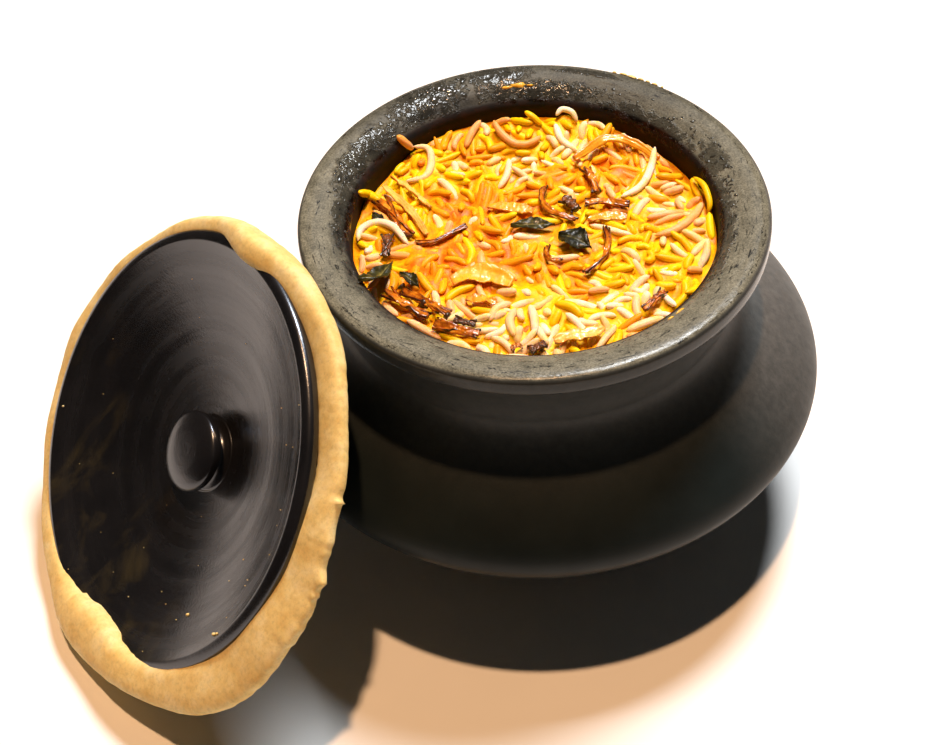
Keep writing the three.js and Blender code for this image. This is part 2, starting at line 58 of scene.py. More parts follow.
LID_RADIUS, LID_WALL = 69.9, 5.5
DISH_DEPTH, DISH_RADIUS = 17, 66.5
KNOB_RADIUS, KNOB_NECK, KNOB_THICK, KNOB_TOP = 13, 8.2, 5.6, -7.4
LID_CENTRE = Vector((-120, -43.75, 65.8))
LID_AZIMUTH, LID_ELEVATION = math.radians(206.4), math.radians(38.3)
DOUGH_BACK = -11.1

lid_place = (
    Matrix.Translation(LID_CENTRE)
    @ Matrix.Rotation(LID_AZIMUTH, 4, "Z")
    @ Matrix.Rotation(math.pi / 2 - LID_ELEVATION, 4, "Y")
)

# ---------------- numbers and noise


def lattice(cells, seed):
    """A repeatable random number from 0 to 1 for each whole-numbered cell."""
    h = np.full(cells.shape[:-1], seed * 374761393 + 974711, np.uint64)
    for axis, prime in enumerate((73856093, 19349663, 83492791)):
        h ^= cells[..., axis].astype(np.int64).astype(np.uint64) * np.uint64(prime)
        h = (h ^ (h >> np.uint64(13))) * np.uint64(1274126177)
        h &= np.uint64(0xFFFFFFFF)
    return (h ^ (h >> np.uint64(16))).astype(float) / 4294967295.0


def noise(points, scale, seed):
    """Smooth noise from -1 to 1. scale is the size of its features."""
    p = np.asarray(points, float) / scale
    if p.shape[-1] == 2:
        p = np.concatenate([p, np.zeros(p.shape[:-1] + (1,))], -1)
    cell = np.floor(p)
    f = p - cell
    f = f * f * (3 - 2 * f)
    total = 0.0
    for corner in np.ndindex(2, 2, 2):
        weight = np.prod(np.where(corner, f, 1 - f), -1)
        total = total + weight * lattice(cell + corner, seed)
    return 2 * total - 1


def rough(points, scale, seed, octaves=3):
    """Noise with finer noise on it."""
    total = 0.0
    for i in range(octaves):
        total = total + noise(points, scale / 2**i, seed + 17 * i) / 2**i
    return total / (2 - 0.5 ** (octaves - 1))


def bezier(steps, *xy):
    """Points of a curve whose two ends and one or two handles are given as x, y pairs."""
    p = np.array(xy, float).reshape(-1, 2)
    t = np.linspace(0, 1, steps + 1)[:, None]
    while len(p) > 1:
        p = [a + (b - a) * t for a, b in zip(p[:-1], p[1:])]
    return p[0]


def joined(*runs):
    """Runs of points that follow each other, with no point twice."""
    p = np.concatenate([np.asarray(r, float).reshape(-1, 2) for r in runs])
    keep = np.r_[True, np.hypot(*(p[1:] - p[:-1]).T) > 1e-6]
    return p[keep]

# Which knots each pair of points lies between, level by level, on the way to a curve's point.
SPANS = (((0, 1), (1, 2), (2, 3)), ((0, 2), (1, 3)), ((1, 2),))


def smooth_path(points, steps):
    """steps + 1 points at equal distances on a smooth curve through the given ones."""
    p = np.asarray(points, float)
    first, last = 2 * p[0] - p[1], 2 * p[-1] - p[-2]
    p = np.vstack([first, p, last])
    fine = []
    for i in range(len(p) - 3):
        level = p[i:i + 4]
        knots = np.cumsum([0, *(np.linalg.norm(b - a) ** 0.5 for a, b in zip(level, level[1:]))])
        t = np.linspace(knots[1], knots[2], 24, endpoint=False)[:, None]
        for spans in SPANS:
            level = [a * (knots[n] - t) / (knots[n] - knots[m]) + b * (t - knots[m]) / (knots[n] - knots[m])
                     for a, b, (m, n) in zip(level, level[1:], spans)]
        fine.append(level[0])
    fine = np.vstack(fine + [p[-2]])
    run = np.r_[0, np.cumsum(np.linalg.norm(np.diff(fine, axis=0), axis=1))]
    at = np.linspace(0, run[-1], steps + 1)
    return np.stack([np.interp(at, run, fine[:, k]) for k in range(3)], -1)

# ---------------- meshes
def unit(vectors):
    return vectors / np.maximum(np.linalg.norm(vectors, axis=-1, keepdims=True), 1e-6)


def circle(steps):
    return np.linspace(0, 2 * np.pi, steps, endpoint=False)


def around(radius, angle, height):
    """Points at distances from the axis, angles round it and heights."""
    return np.stack(np.broadcast_arrays(radius * np.cos(angle), radius * np.sin(angle), height), -1)


def grid_faces(rows, columns, wrap=False, loop=False, start=0):
    """Quads over rows x columns points. wrap joins the last column to the first, loop the last row."""
    i = np.arange(rows if loop else rows - 1)[:, None]
    j = np.arange(columns if wrap else columns - 1)[None, :]
    k = (j + 1) % columns
    here, below = i * columns, (i + 1) % rows * columns
    return np.stack([here + j, here + k, below + k, below + j], -1).reshape(-1, 4) + start


def moved(points, place):
    """Points from a part's own frame to the pot's."""
    m = np.array(place)
    return points @ m[:3, :3].T + m[:3, 3]


def new_object(name, points, faces, material, place=None):
    """A smooth object. The attribute local keeps where its points are in the part's own frame."""
    mesh = bpy.data.meshes.new(name)
    in_pot = points if place is None else moved(points, place)
    mesh.from_pydata((in_pot * MM).tolist(), [], faces)
    mesh.polygons.foreach_set("use_smooth", [True] * len(mesh.polygons))
    local = mesh.attributes.new("local", "FLOAT_VECTOR", "POINT")
    local.data.foreach_set("vector", points.astype(np.float32).ravel())
    mesh.materials.append(material)
    o = bpy.data.objects.new(name, mesh)
    bpy.context.scene.collection.objects.link(o)
    return o


def piece(name, parts, material, tones=None, place=None):
    """One object from (points, faces) parts, riding on the pot. tones is a number for each point."""
    points, faces, base = [], [], 0
    for p, sets in parts:
        points.append(np.asarray(p, float).reshape(-1, 3))
        for f in sets:
            faces.extend((np.asarray(f) + base).tolist())
        base += len(points[-1])
    o = new_object(name, np.vstack(points), faces, material, place)
    if tones is not None:
        layer = o.data.attributes.new("tone", "FLOAT", "POINT")
        layer.data.foreach_set("value", np.concatenate(tones).astype(np.float32))
    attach(o, "root")
    return o


def closed(rings, first, last):
    """A closed solid from rings of points and the two points that close its ends."""
    rows, turns = rings.shape[:2]
    j = np.arange(turns)
    k = (j + 1) % turns
    low, high, end = rows * turns, rows * turns + 1, (rows - 1) * turns
    caps = [np.stack([k, j, j * 0 + low], -1), np.stack([end + j, end + k, j * 0 + high], -1)]
    return np.vstack([rings.reshape(-1, 3), [first, last]]), [grid_faces(rows, turns, wrap=True), *caps]


def turned(profile, turns, shape):
    """A closed solid of revolution from (radius, height) points that start and end on the axis.
    shape(points, angle) gives its uneven points."""
    angle = circle(turns)
    p = around(profile[1:-1, 0, None], angle, profile[1:-1, 1, None])
    p = shape(p, np.broadcast_to(angle, p.shape[:2]))
    return closed(p, (0, 0, profile[0, 1]), (0, 0, profile[-1, 1]))


def slab(steps_u, steps_v, place, tone):
    """A thin closed solid and the tones of its points. place(u, v, side) gives the points of its
    upper (1) or lower (-1) face, and tone(u, v) the tones of both."""
    u, v = np.meshgrid(np.linspace(0, 1, steps_u + 1), np.linspace(0, 1, steps_v + 1), indexing="ij")
    rows, columns = u.shape
    face = grid_faces(rows, columns)
    n = rows * columns
    ring = np.r_[
        np.arange(columns),
        np.arange(1, rows) * columns + columns - 1,
        (rows - 1) * columns + np.arange(columns - 2, -1, -1),
        np.arange(rows - 2, 0, -1) * columns,
    ]
    after = np.roll(ring, -1)
    edge = np.stack([ring, after, after + n, ring + n], -1)
    points = np.vstack([place(u, v, side).reshape(-1, 3) for side in (1, -1)])
    return (points, [face[:, ::-1], face + n, edge]), np.tile(tone(u, v).reshape(-1), 2)

# ---------------- materials


def rgba(value):
    """A colour for a socket. A number becomes a grey, and another node's output stays as it is."""
    if hasattr(value, "is_output"):
        return value
    return (*value, 1) if isinstance(value, tuple) else (value, value, value, 1)


class Look:
    """A Principled material and short calls that add nodes to it."""

    def __init__(self, name, **constants):
        self.material = bpy.data.materials.new(name)
        self.material.use_nodes = True
        self.tree = self.material.node_tree
        self.shader = self.tree.nodes["Principled BSDF"]
        for key, value in constants.items():
            self.shader.inputs[key.replace("_", " ")].default_value = value

    def add(self, kind, inputs, **properties):
        node = self.tree.nodes.new(kind)
        for key, value in properties.items():
            setattr(node, key, value)
        for key, value in inputs.items():
            if hasattr(value, "is_output"):
                self.tree.links.new(value, node.inputs[key])
            else:
                node.inputs[key].default_value = value
        return node

    def where(self, scale=None):
        """Positions in millimetres, in the piece's own frame, stretched by scale."""
        spot = self.add("ShaderNodeAttribute", {}, attribute_name="local").outputs["Vector"]
        if scale:
            spot = self.add("ShaderNodeMapping", {"Vector": spot, "Scale": scale}).outputs[0]
        return spot

    def noise(self, size, detail=3.0, roughness=0.55, spot=None, distortion=0.0):
        inputs = dict(Scale=1 / size, Detail=detail, Roughness=roughness, Distortion=distortion)
        return self.add("ShaderNodeTexNoise", {"Vector": spot or self.where(), **inputs}).outputs["Fac"]

    def ramp(self, value, *stops):
        """Colours or numbers at places from 0 to 1: (place, (r, g, b)) or (place, number)."""
        node = self.add("ShaderNodeValToRGB", {"Fac": value})
        elements = node.color_ramp.elements
        while len(elements) < len(stops):
            elements.new(0.5)
        for element, (at, colour) in zip(elements, stops):
            element.position = at
            element.color = rgba(colour)
        return node.outputs["Color"]

    def math(self, operation, *values):
        """The values joined by one operation, from left to right."""
        result = values[0]
        for value in values[1:]:
            result = self.add("ShaderNodeMath", {0: result, 1: value}, operation=operation).outputs[0]
        return result

    def times(self, *values):
        return self.math("MULTIPLY", *values)

    def plus(self, *values):
        return self.math("ADD", *values)

    def minus(self, a, b):
        return self.math("SUBTRACT", a, b)

    def swing(self, noise, amount):
        """Noise from 0 to 1, spread over the given amount round 0."""
        return self.times(self.minus(noise, 0.5), amount)

    def mix(self, amount, a, b, blend="MIX"):
        inputs = {0: amount, 6: rgba(a), 7: rgba(b)}
        return self.add("ShaderNodeMix", inputs, data_type="RGBA", blend_type=blend).outputs[2]

    def multiplied(self, a, b):
        return self.mix(1.0, a, b, "MULTIPLY")

    def parts(self):
        return self.add("ShaderNodeSeparateXYZ", {0: self.where()}).outputs

    def flat(self, x, y):
        """A position on a plane."""
        return self.add("ShaderNodeCombineXYZ", {0: x, 1: y}).outputs[0]

    def rise(self, value, start, end):
        """0 where value is at start and 1 where it is at end, smooth between them."""
        inputs = {"Value": value, "From Min": start, "From Max": end}
        return self.add("ShaderNodeMapRange", inputs, interpolation_type="SMOOTHSTEP").outputs[0]

    def polar(self):
        """Distance from the axis in millimetres, and the angle round it from -154 to 206 degrees."""
        x, y, _ = self.parts()
        squares = self.plus(self.times(x, x), self.times(y, y))
        degrees = self.times(self.math("ARCTAN2", y, x), math.degrees(1))
        wrapped = self.add("ShaderNodeMath", {0: degrees, 1: 206.0, 2: -154.0}, operation="WRAP")
        return self.math("SQRT", squares, 0.0), wrapped.outputs[0]

    def patch(self, radius, angle, ragged, at_angle, at_radius, wide, deep):
        """1 in the middle of a patch and 0 outside it. ragged makes its edge uneven."""
        a = self.math("DIVIDE", self.minus(angle, at_angle), wide)
        r = self.math("DIVIDE", self.minus(radius, at_radius), deep)
        return self.rise(self.plus(self.times(a, a), self.times(r, r), ragged), 1.35, 0.45)

    def link(self, socket, value):
        self.tree.links.new(value, self.shader.inputs[socket])

    def paint(self, value, *amounts, socket="Base Color"):
        """Lays a colour or number over what the socket has, as much as the amounts' product says."""
        under = self.shader.inputs[socket].links[0].from_socket
        self.link(socket, self.mix(self.times(*amounts), under, value))

    def bump(self, height, distance, strength=1.0):
        """distance is the relief's depth in millimetres."""
        inputs = {"Height": height, "Distance": distance * MM, "Strength": strength}
        if self.shader.inputs["Normal"].is_linked:
            inputs["Normal"] = self.shader.inputs["Normal"].links[0].from_socket
        self.link("Normal", self.add("ShaderNodeBump", inputs).outputs[0])


def clay(name, low, high, gloss_low, gloss_high, **constants):
    """Black burnished clay: its colour and roughness vary, and fine grain shows in it."""
    look = Look(name, **constants)
    look.link("Base Color", look.ramp(look.noise(22, 4), (0.3, low), (0.7, high)))
    look.link("Roughness", look.ramp(look.noise(9, 5, 0.65), (0.3, gloss_low), (0.75, gloss_high)))
    look.bump(look.noise(0.9, 3), 0.03)
    return look
# Wet patches on the rim: angle, radius, how far they reach in degrees and in millimetres.
WET_PATCHES = [
    (96, 67.5, 9, 6), (84, 62, 18, 3), (119, 65.5, 13, 6), (148, 63.2, 16, 4.4), (172, 60.4, 16, 2.8),
    (19, 62.6, 7, 4), (46, 60.0, 20, 2.2), (-14, 60.4, 26, 2.2), (70, 69.5, 9, 1.4),
]

def pot_look():
    look = clay("black_clay_pot", (0.0068, 0.0105, 0.0108), (0.0110, 0.0165, 0.0170), 0.40, 0.50,
                Specular_IOR_Level=0.2)
    radius, angle = look.polar()
    x, y, z = look.parts()
    high = look.rise(z, 109.6, 112.4)
    on_rim = look.times(high, look.rise(radius, 73.1, 72.0))
    # Painted light: the shoulder at the right is painted lighter as a painted sheen from the window light,
    # and a band round the neck and upper shoulder, which the rim shades, is painted lighter as a painted
    # reflection of the table.
    mottle = look.ramp(look.noise(3.0, 5, 0.7), (0.3, 0.5), (0.7, 1.0))
    painted_sheen_right = look.rise(look.plus(x, look.times(y, 0.5)), 18, 74)
    look.paint((0.130, 0.126, 0.120), look.rise(z, 30, 88), painted_sheen_right, mottle)
    # Painted reflection round the neck and upper shoulder.
    look.paint((0.085, 0.082, 0.074), look.rise(z, 66, 84), mottle, 0.45)
    # The rim is greyer than the belly, dry and finely cracked, most of all in front.
    flakes = look.noise(1.7, 6, 0.72, look.flat(look.times(angle, 0.42), look.times(radius, 1.5)), 0.9)
    in_front = look.rise(y, 20, -15)
    cracks = look.rise(flakes, look.plus(look.times(in_front, 0.05), 0.40), 0.37)
    grey = look.ramp(look.noise(5, 5, 0.65), (0.3, (0.095, 0.092, 0.068)), (0.7, (0.185, 0.178, 0.132)))
    grey = look.mix(look.times(look.rise(y, 15, 60), 0.6), grey, (0.030, 0.030, 0.026))
    # Its inner edge is damp and dark, but for the front and the right.
    worn = look.ramp(look.noise(7, 4, 0.6), (0.36, 0.0), (0.6, 1.0))
    damp = look.times(look.rise(radius, 65.0, 61.0), look.rise(x, 48, -10), look.rise(y, -58, -40),
                      look.plus(look.times(worn, 0.6), 0.3))
    grey = look.mix(damp, grey, (0.020, 0.020, 0.017))
    speckle = look.ramp(look.noise(0.55, 2, 0.6), (0.3, 0.62), (0.5, 1.0), (0.72, 1.5))
    look.paint(look.multiplied(grey, speckle), on_rim)
    look.paint((0.0055, 0.005, 0.004), cracks, on_rim)
    # Steam has left it wet in places, above all at the back and on the left.
    ragged = look.swing(look.noise(3.0, 4, 0.65), 5.0)
    patches = [look.patch(radius, angle, ragged, *patch) for patch in WET_PATCHES]
    wet = look.times(look.math("MAXIMUM", *patches), look.rise(z, 108, 110))
    look.paint((0.011, 0.011, 0.010), wet, 0.6)
    # Spilled fat dries reddish brown on the inside of the mouth; the stain is also painted very dark there,
    # as painted shade of the recess below the rim.
    inside = look.rise(radius, 60.2, 58.6)
    stain_and_shade = look.noise(6, 4, 0.6, look.where((1, 1, 3)))
    look.paint(look.ramp(stain_and_shade, (0.4, (0.003, 0.002, 0.0015)), (0.68, (0.020, 0.006, 0.002))), inside)
    # The flakes are matt, the inside is dull, the crest is rubbed smooth and the wet places shine.
    look.paint(look.ramp(flakes, (0.3, 0.42), (0.7, 0.58)), on_rim, socket="Roughness")
    look.paint(0.75, inside, socket="Roughness")
    look.paint(0.18, look.rise(radius, 69.4, 71.0), high, socket="Roughness")
    look.paint(0.13, wet, socket="Roughness")
    look.bump(look.times(flakes, on_rim, look.minus(1.0, wet)), 0.12, 0.6)
    look.bump(look.times(look.noise(3.0, 3, 0.5), wet), 0.8, 0.9)
    return look.material


def lid_look():
    look = clay("black_clay_lid", (0.0042, 0.0040, 0.0043), (0.0095, 0.0090, 0.0095), 0.19, 0.27,
                Specular_IOR_Level=1.0, Specular_Tint=(0.82, 0.88, 1.0, 1))
    radius, _ = look.polar()
    x, y, _ = look.parts()
    # The potter's fingers left soft rings round the knob.
    rings = look.flat(radius, look.times(look.noise(30), 8.0))
    look.bump(look.noise(7.0, 2, 0.5, rings), 0.22, 0.6)
    sheen = look.ramp(look.noise(5.0, 2, 0.6, rings), (0.36, 0.17), (0.64, 0.34))
    look.paint(sheen, 0.6, socket="Roughness")
    # Greasy yellowish smears near the lower left.
    streaks = look.ramp(look.noise(20, 6, 0.6, look.where((0.6, 1.2, 1)), 0.8), (0.5, 0.0), (0.72, 1.0))
    low = look.rise(look.minus(x, look.times(y, 0.45)), 8, 40)
    look.paint((0.075, 0.058, 0.022), streaks, low, 0.4)
    return look.material


def dough_look():
    look = Look("baked_dough", Roughness=0.62, Specular_IOR_Level=0.35, Subsurface_Weight=0.15,
                Subsurface_Radius=(0.003, 0.0015, 0.0006))
    broad = look.noise(9, 5, 0.6)
    fine = look.noise(1.3, 5, 0.7)
    crust = look.ramp(broad, (0.32, (0.70, 0.46, 0.14)), (0.5, (0.77, 0.56, 0.21)), (0.7, (0.84, 0.67, 0.33)))
    specks = look.ramp(fine, (0.3, 0.82), (0.5, 1.0), (0.72, 1.08))
    look.link("Base Color", look.multiplied(crust, specks))
    look.bump(look.noise(3.2, 4, 0.5), 0.2, 0.6)
    look.bump(fine, 0.06, 0.5)
    return look.material


def food_look(name, stops, mottle, amount, grain, depth, strength, **constants):
    """Food coloured by its tone, as the stops say. mottle and grain are the noises that vary the tone,
    by the given amount, and roughen the surface."""
    look = Look(name, **constants)
    tone = look.add("ShaderNodeAttribute", {}, attribute_name="tone").outputs["Fac"]
    look.link("Base Color", look.ramp(look.plus(tone, look.swing(look.noise(*mottle), amount)), *stops))
    look.bump(look.noise(*grain), depth, strength)
    return look


def grain_look(name, dark, light, tint):
    """Cooked rice: soft and slightly see-through. Where the fat pools it takes on the tint."""
    look = food_look(
        name, ((0.15, dark), (0.85, light)), (1.8, 2), 0.5, (0.8, 3), 0.05, 0.6, Roughness=0.44,
        Specular_IOR_Level=0.16, Subsurface_Weight=1.0, Subsurface_Radius=(0.0065, 0.0042, 0.0016),
        Coat_Weight=0.04, Coat_Roughness=0.2)
    look.paint(tint, look.rise(look.noise(8, 3, 0.55), 0.46, 0.64), 0.6)
    return look.material


def fried_look(name, *stops, roughness):
    """Fried onion: glossy, and browner where the tone is low."""
    return food_look(
        name, stops, (1.5, 4, 0.6), 0.6, (0.5, 3), 0.06, 0.7, Coat_Weight=0.45, Coat_Roughness=0.1,
        Roughness=roughness, Subsurface_Weight=0.7, Subsurface_Radius=(0.0035, 0.0014, 0.0004),
        Specular_IOR_Level=0.35).material


def leaf_look():
    stops = ((0.3, (0.007, 0.007, 0.002)), (0.6, (0.036, 0.033, 0.006)), (1.0, (0.24, 0.19, 0.04)))
    return food_look("fried_mint", stops, (1.7, 4), 0.9, (0.8, 4, 0.6), 0.2, 0.8, Roughness=0.36,
                     Coat_Weight=0.12, Coat_Roughness=0.12, Specular_IOR_Level=0.3).material


def fat_look(name, roughness, *stops):
    """Saffron fat with mashed rice in it."""
    return food_look(
        name, stops, (3.5, 4, 0.6), 0.9, (1.8, 3), 0.14, 0.7, Roughness=roughness, Specular_IOR_Level=0.16,
        Subsurface_Weight=0.9, Subsurface_Radius=(0.0065, 0.0038, 0.0013)).material


def water_look():
    """Drops on black clay look as dark as the clay, with bright glints."""
    look = Look("water_drops", Roughness=0.03, IOR=1.4)
    shades = (0.3, (0.022, 0.022, 0.018)), (0.7, (0.060, 0.058, 0.046))
    look.link("Base Color", look.ramp(look.noise(6), *shades))
    return look.material


def table_look():
    look = Look("pale_table", Roughness=0.6, Specular_IOR_Level=0.25)
    shades = (0.3, (0.83, 0.825, 0.81)), (0.7, (0.86, 0.855, 0.845))
    look.link("Base Color", look.ramp(look.noise(60, 3), *shades))
    return look.material

# ---------------- pot


def body_run(depth, low_steps, high_steps):
    """The pot's wall from foot to neck, the given depth inside its outer face."""
    foot, belly, neck = BASE_RADIUS - depth / 2, BELLY_RADIUS - depth, NECK_RADIUS - depth
    return joined(
        bezier(low_steps, foot, depth, foot + FOOT_FLARE, FOOT_RISE + depth,
               belly, BELLY_HEIGHT - BELLY_ROUND, belly, BELLY_HEIGHT),
        bezier(high_steps, belly, BELLY_HEIGHT, belly, BELLY_HEIGHT + BELLY_ROUND,
               neck - NECK_TUCK, NECK_HEIGHT - NECK_ROUND, neck, NECK_HEIGHT),
    )


rim_face = joined(
    bezier(8, RIM_RADIUS, SIDE_HIGH, RIM_RADIUS, RIM_HEIGHT, CREST_RADIUS, RIM_HEIGHT),
    bezier(30, CREST_RADIUS, RIM_HEIGHT, 64.8, RIM_HEIGHT, FACE_RADIUS, FACE_HEIGHT),
    bezier(8, FACE_RADIUS, FACE_HEIGHT, MOUTH_RADIUS, MOUTH_BEND, MOUTH_RADIUS, MOUTH_HEIGHT),
)


def rim_height(radius):
    """Height of the rim's face at a distance from the axis."""
    order = np.argsort(rim_face[:, 0])
    return np.interp(radius, rim_face[order, 0], rim_face[order, 1])


def pot_shape(p, angle):
    """Slight unevenness from the potter's hands, and a worn, finely pitted rim."""
    radius = np.hypot(p[..., 0], p[..., 1])
    out = p[..., :2] / np.maximum(radius, 1e-6)[..., None]
    outside = p[..., 2] > 1
    wobble = 0.12 * rough(p, 40, 5) * outside
    turning = 0.008 * np.sin(p[..., 2] * 2.3 + noise(p, 30, 8)) * outside
    p[..., :2] += out * (np.minimum(wobble + turning - 0.1, 0))[..., None]
    on_rim = np.clip((p[..., 2] - 111) / 2, 0, 1) * (radius < 72.8)
    flat = np.stack([angle * 26, radius * 1.6], -1)
    pits = np.clip(rough(flat, 3.2, 11, 4) - 0.12, 0, 1)
    p[..., 2] -= on_rim * (0.3 * pits + 0.05 * (1 + noise(flat, 9, 4)))
    return p


pot_profile = joined(
    (0, 0),
    bezier(6, 0, 0, BASE_RADIUS / 2, 0, BASE_RADIUS, 0),
    body_run(0, 56, 40),
    bezier(16, NECK_RADIUS, NECK_HEIGHT, NECK_RADIUS, LIP_LOW - 11, NECK_RADIUS + 2.5, LIP_LOW - 3,
           LIP_RADIUS, LIP_LOW),
    bezier(3, LIP_RADIUS, LIP_LOW, RIM_RADIUS, 110.6, RIM_RADIUS, SIDE_LOW),
    bezier(2, RIM_RADIUS, SIDE_LOW, RIM_RADIUS, 113.2, RIM_RADIUS, SIDE_HIGH),
    rim_face,
    body_run(WALL, 12, 12)[::-1],
    (0, WALL),
)
pot = piece("clay_pot_whole", [turned(pot_profile, 480, pot_shape)], pot_look())
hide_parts("pot_body", "pot_neck", "pot_rim")

# ---------------- water on the rim


def blob(centre, normal, size, height, random, stretch=1.0, turn=None, rings=4, sides=12):
    """A low drop or crumb on a surface, with an uneven outline. stretch lengthens it along turn."""
    n = Vector(normal).normalized()
    turn = random.uniform(0, 2 * np.pi) if turn is None else turn
    a = Vector((math.cos(turn), math.sin(turn), 0))
    a = (a - n * a.dot(n)).normalized()
    b = n.cross(a)
    a, b, n, c = (np.array(v) for v in (a, b, n, centre))
    t = circle(sides)
    outline = 1 + sum(random.uniform(0.03, 0.16) * np.cos(k * t + random.uniform(0, 6.3)) for k in (2, 3, 5))
    points = [c + n * height]
    for i in range(1, rings + 1):
        s = i / rings
        lift = height * (1 - s**2.4) - 0.08 * (i == rings)
        ring = c + n * lift + (s * size / 2) * outline[:, None] * (
            np.cos(t)[:, None] * a * stretch + np.sin(t)[:, None] * b / stretch)
        points.extend(ring)
    quads = grid_faces(rings, sides, wrap=True, start=1)
    j = np.arange(sides)
    cap = np.stack([j * 0, 1 + j, 1 + (j + 1) % sides], -1)
    under = (1 + (rings - 1) * sides + j)[None, ::-1]
    return np.array(points), [quads[:, ::-1], cap, under]


def rim_spot(angle, radius):
    """A place on the rim's face and the direction it faces."""
    x, y = radius * math.cos(angle), radius * math.sin(angle)
    z = float(rim_height(radius))
    slope = float(rim_height(radius + 0.3) - rim_height(radius - 0.3)) / 0.6
    return (x, y, z), (-slope * math.cos(angle), -slope * math.sin(angle), 1)


# Drops lie in bands: (from, to) in degrees round the rim, (inner, outer) radius, sizes, how many.
DROP_BANDS = [
    ((105, 124), (62.5, 70), (0.6, 2.2), 44),
    ((105, 122), (63, 69.5), (2.0, 4.6), 7),
    ((124, 146), (60, 65), (0.6, 1.8), 26),
    ((146, 168), (60, 66.5), (0.7, 2.0), 44),
    ((146, 160), (61, 66), (1.6, 3.4), 7),
    ((168, 200), (58.8, 62), (0.5, 1.4), 34),
    ((175, 184), (60.5, 64), (1.4, 2.8), 4),
    ((-34, 12), (58.8, 63.6), (0.5, 1.5), 70),
    ((12, 24), (60, 66), (0.7, 2.0), 24),
    ((24, 62), (59.5, 66), (0.5, 1.6), 36),
    ((62, 104), (59.5, 63.5), (0.5, 1.5), 30),
    ((196, 236), (58.8, 63), (0.4, 1.1), 26),
    ((-110, -34), (58.8, 62.5), (0.4, 1.1), 34),
]
SINK = 0.12  # of a drop's edge below the clay
random = np.random.default_rng(7)
drops = []
for (start, end), (near, far), (small, large), count in DROP_BANDS:
    for _ in range(count):
        at, normal = rim_spot(math.radians(random.uniform(start, end)), random.uniform(near, far))
        size = random.uniform(small, large)
        at = np.array(at) - [0, 0, SINK]
        drops.append(blob(at, normal, size, SINK + 0.11 * size**0.8, random, random.uniform(0.7, 1.7)))
water = piece("rim_water", drops, water_look())


def smears(spots, height, stretch):
    """Blobs along the rim, at spots given as angle, radius, size."""
    laid = []
    for angle, radius, size in spots:
        at, normal = rim_spot(math.radians(angle), radius)
        laid.append(blob(at, normal, size, height, random, stretch, math.radians(angle + 90)))
    return laid


# A streak of golden fat on the rim at the back, and dough that stuck to its outer edge.
FAT_SPOTS = [(90.5, 63.4, 3.4), (94, 63.0, 2.4), (87, 63.2, 1.6), (-49, 61, 2.2), (-53, 61.4, 1.5)]
STUCK = [(64, 1.2), (61.6, 2.4), (59, 3.0), (56.6, 1.8), (54.6, 1.3), (52.4, 1.7), (50, 0.9)]
streak = smears(FAT_SPOTS, 0.5, 1.7)
golden = fat_look("golden_fat", 0.12, (0.3, (0.62, 0.30, 0.02)), (0.7, (0.8, 0.52, 0.10)))
fat_streak = piece("rim_fat", streak, golden, [np.full(len(p), 0.5) for p, _ in streak])
stuck = smears([(angle, 72.7 + 0.3 * math.sin(angle * 9), size) for angle, size in STUCK], 0.55, 1.3)
residue = piece("rim_residue", stuck, dough_look())

# ---------------- lid


def dish_height(radius):
    """Height of the lid's dished face, in the lid's own frame."""
    return -0.4 - DISH_DEPTH * (1 - (radius / DISH_RADIUS) ** 2)


def dish_run(start, end, steps):
    radius = np.linspace(start, end, steps + 1)
    return np.stack([radius, dish_height(radius)], -1)


def lid_shape(p, angle):
    p[..., 2] += 0.12 * rough(p, 30, 3)
    return p


def lid_profile():
    back, crest = dish_height(DISH_RADIUS) - LID_WALL, -0.4
    under = KNOB_TOP - KNOB_THICK
    middle, root_radius = (KNOB_TOP + under) / 2, KNOB_NECK * 1.5
    root = dish_height(root_radius)
    # Low rings from the potter's wheel show in the dish.
    dish = dish_run(DISH_RADIUS, root_radius, 130)[1:]
    dish[:, 1] += 0.006 * np.sin(dish[:, 0] * 0.45)
    return joined(
        dish_run(0, DISH_RADIUS, 24) - [0, LID_WALL],
        bezier(8, DISH_RADIUS, back, LID_RADIUS, back, LID_RADIUS, back / 2),
        bezier(8, LID_RADIUS, back / 2, LID_RADIUS, crest, DISH_RADIUS, crest),
        dish,
        bezier(10, root_radius, root, KNOB_NECK, root, KNOB_NECK, under),
        bezier(8, KNOB_RADIUS - KNOB_THICK / 3, under, KNOB_RADIUS, under, KNOB_RADIUS, middle),
        bezier(16, KNOB_RADIUS, middle, KNOB_RADIUS, KNOB_TOP, 0, KNOB_TOP),
    )


lid = piece("lid_body", [turned(lid_profile(), 360, lid_shape)], lid_look(), place=lid_place)
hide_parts("lid")

# Flour and dough crumbs on the lid: angle, radius, spread of both, sizes, how many.
CRUMBS = [
    (80, 60, 40, 6, 0.5, 14), (20, 50, 30, 16, 0.4, 9), (150, 58, 50, 8, 0.4, 6), (290, 50, 60, 14, 0.35, 6),
]
crumbs = []
for angle, radius, wide, deep, large, count in CRUMBS:
    for _ in range(count):
        a = math.radians(random.normal(angle, wide))
        r = float(np.clip(random.normal(radius, deep), 16, 65))
        slope = 2 * DISH_DEPTH * r / DISH_RADIUS**2
        at = (r * math.cos(a), r * math.sin(a), dish_height(r) + 0.1)
        # A few are three times as large.
        size = random.uniform(0.25, large) * (1 + 2 * (random.uniform() < 0.06))
        crumbs.append(blob(at, (-slope * math.cos(a), -slope * math.sin(a), 1), size, size * 0.45, random,
                           sides=7, rings=2))
flour = piece("lid_crumbs", crumbs, dough_look(), place=lid_place)

# ---------------- dough seal


def swell(angle, centre, width):
    """1 at one angle round the lid, falling to 0 on both sides of it. All in degrees."""
    away = (angle - centre + 180) % 360 - 180
    return np.exp(-((away / width) ** 2))


# Torn tips of the outer edge: angle round the lid, reach in millimetres, half width in degrees.
TIPS = [(119.5, 1.9, 0.8), (103, 2.0, 2.2), (99.5, 1.0, 1.2)]
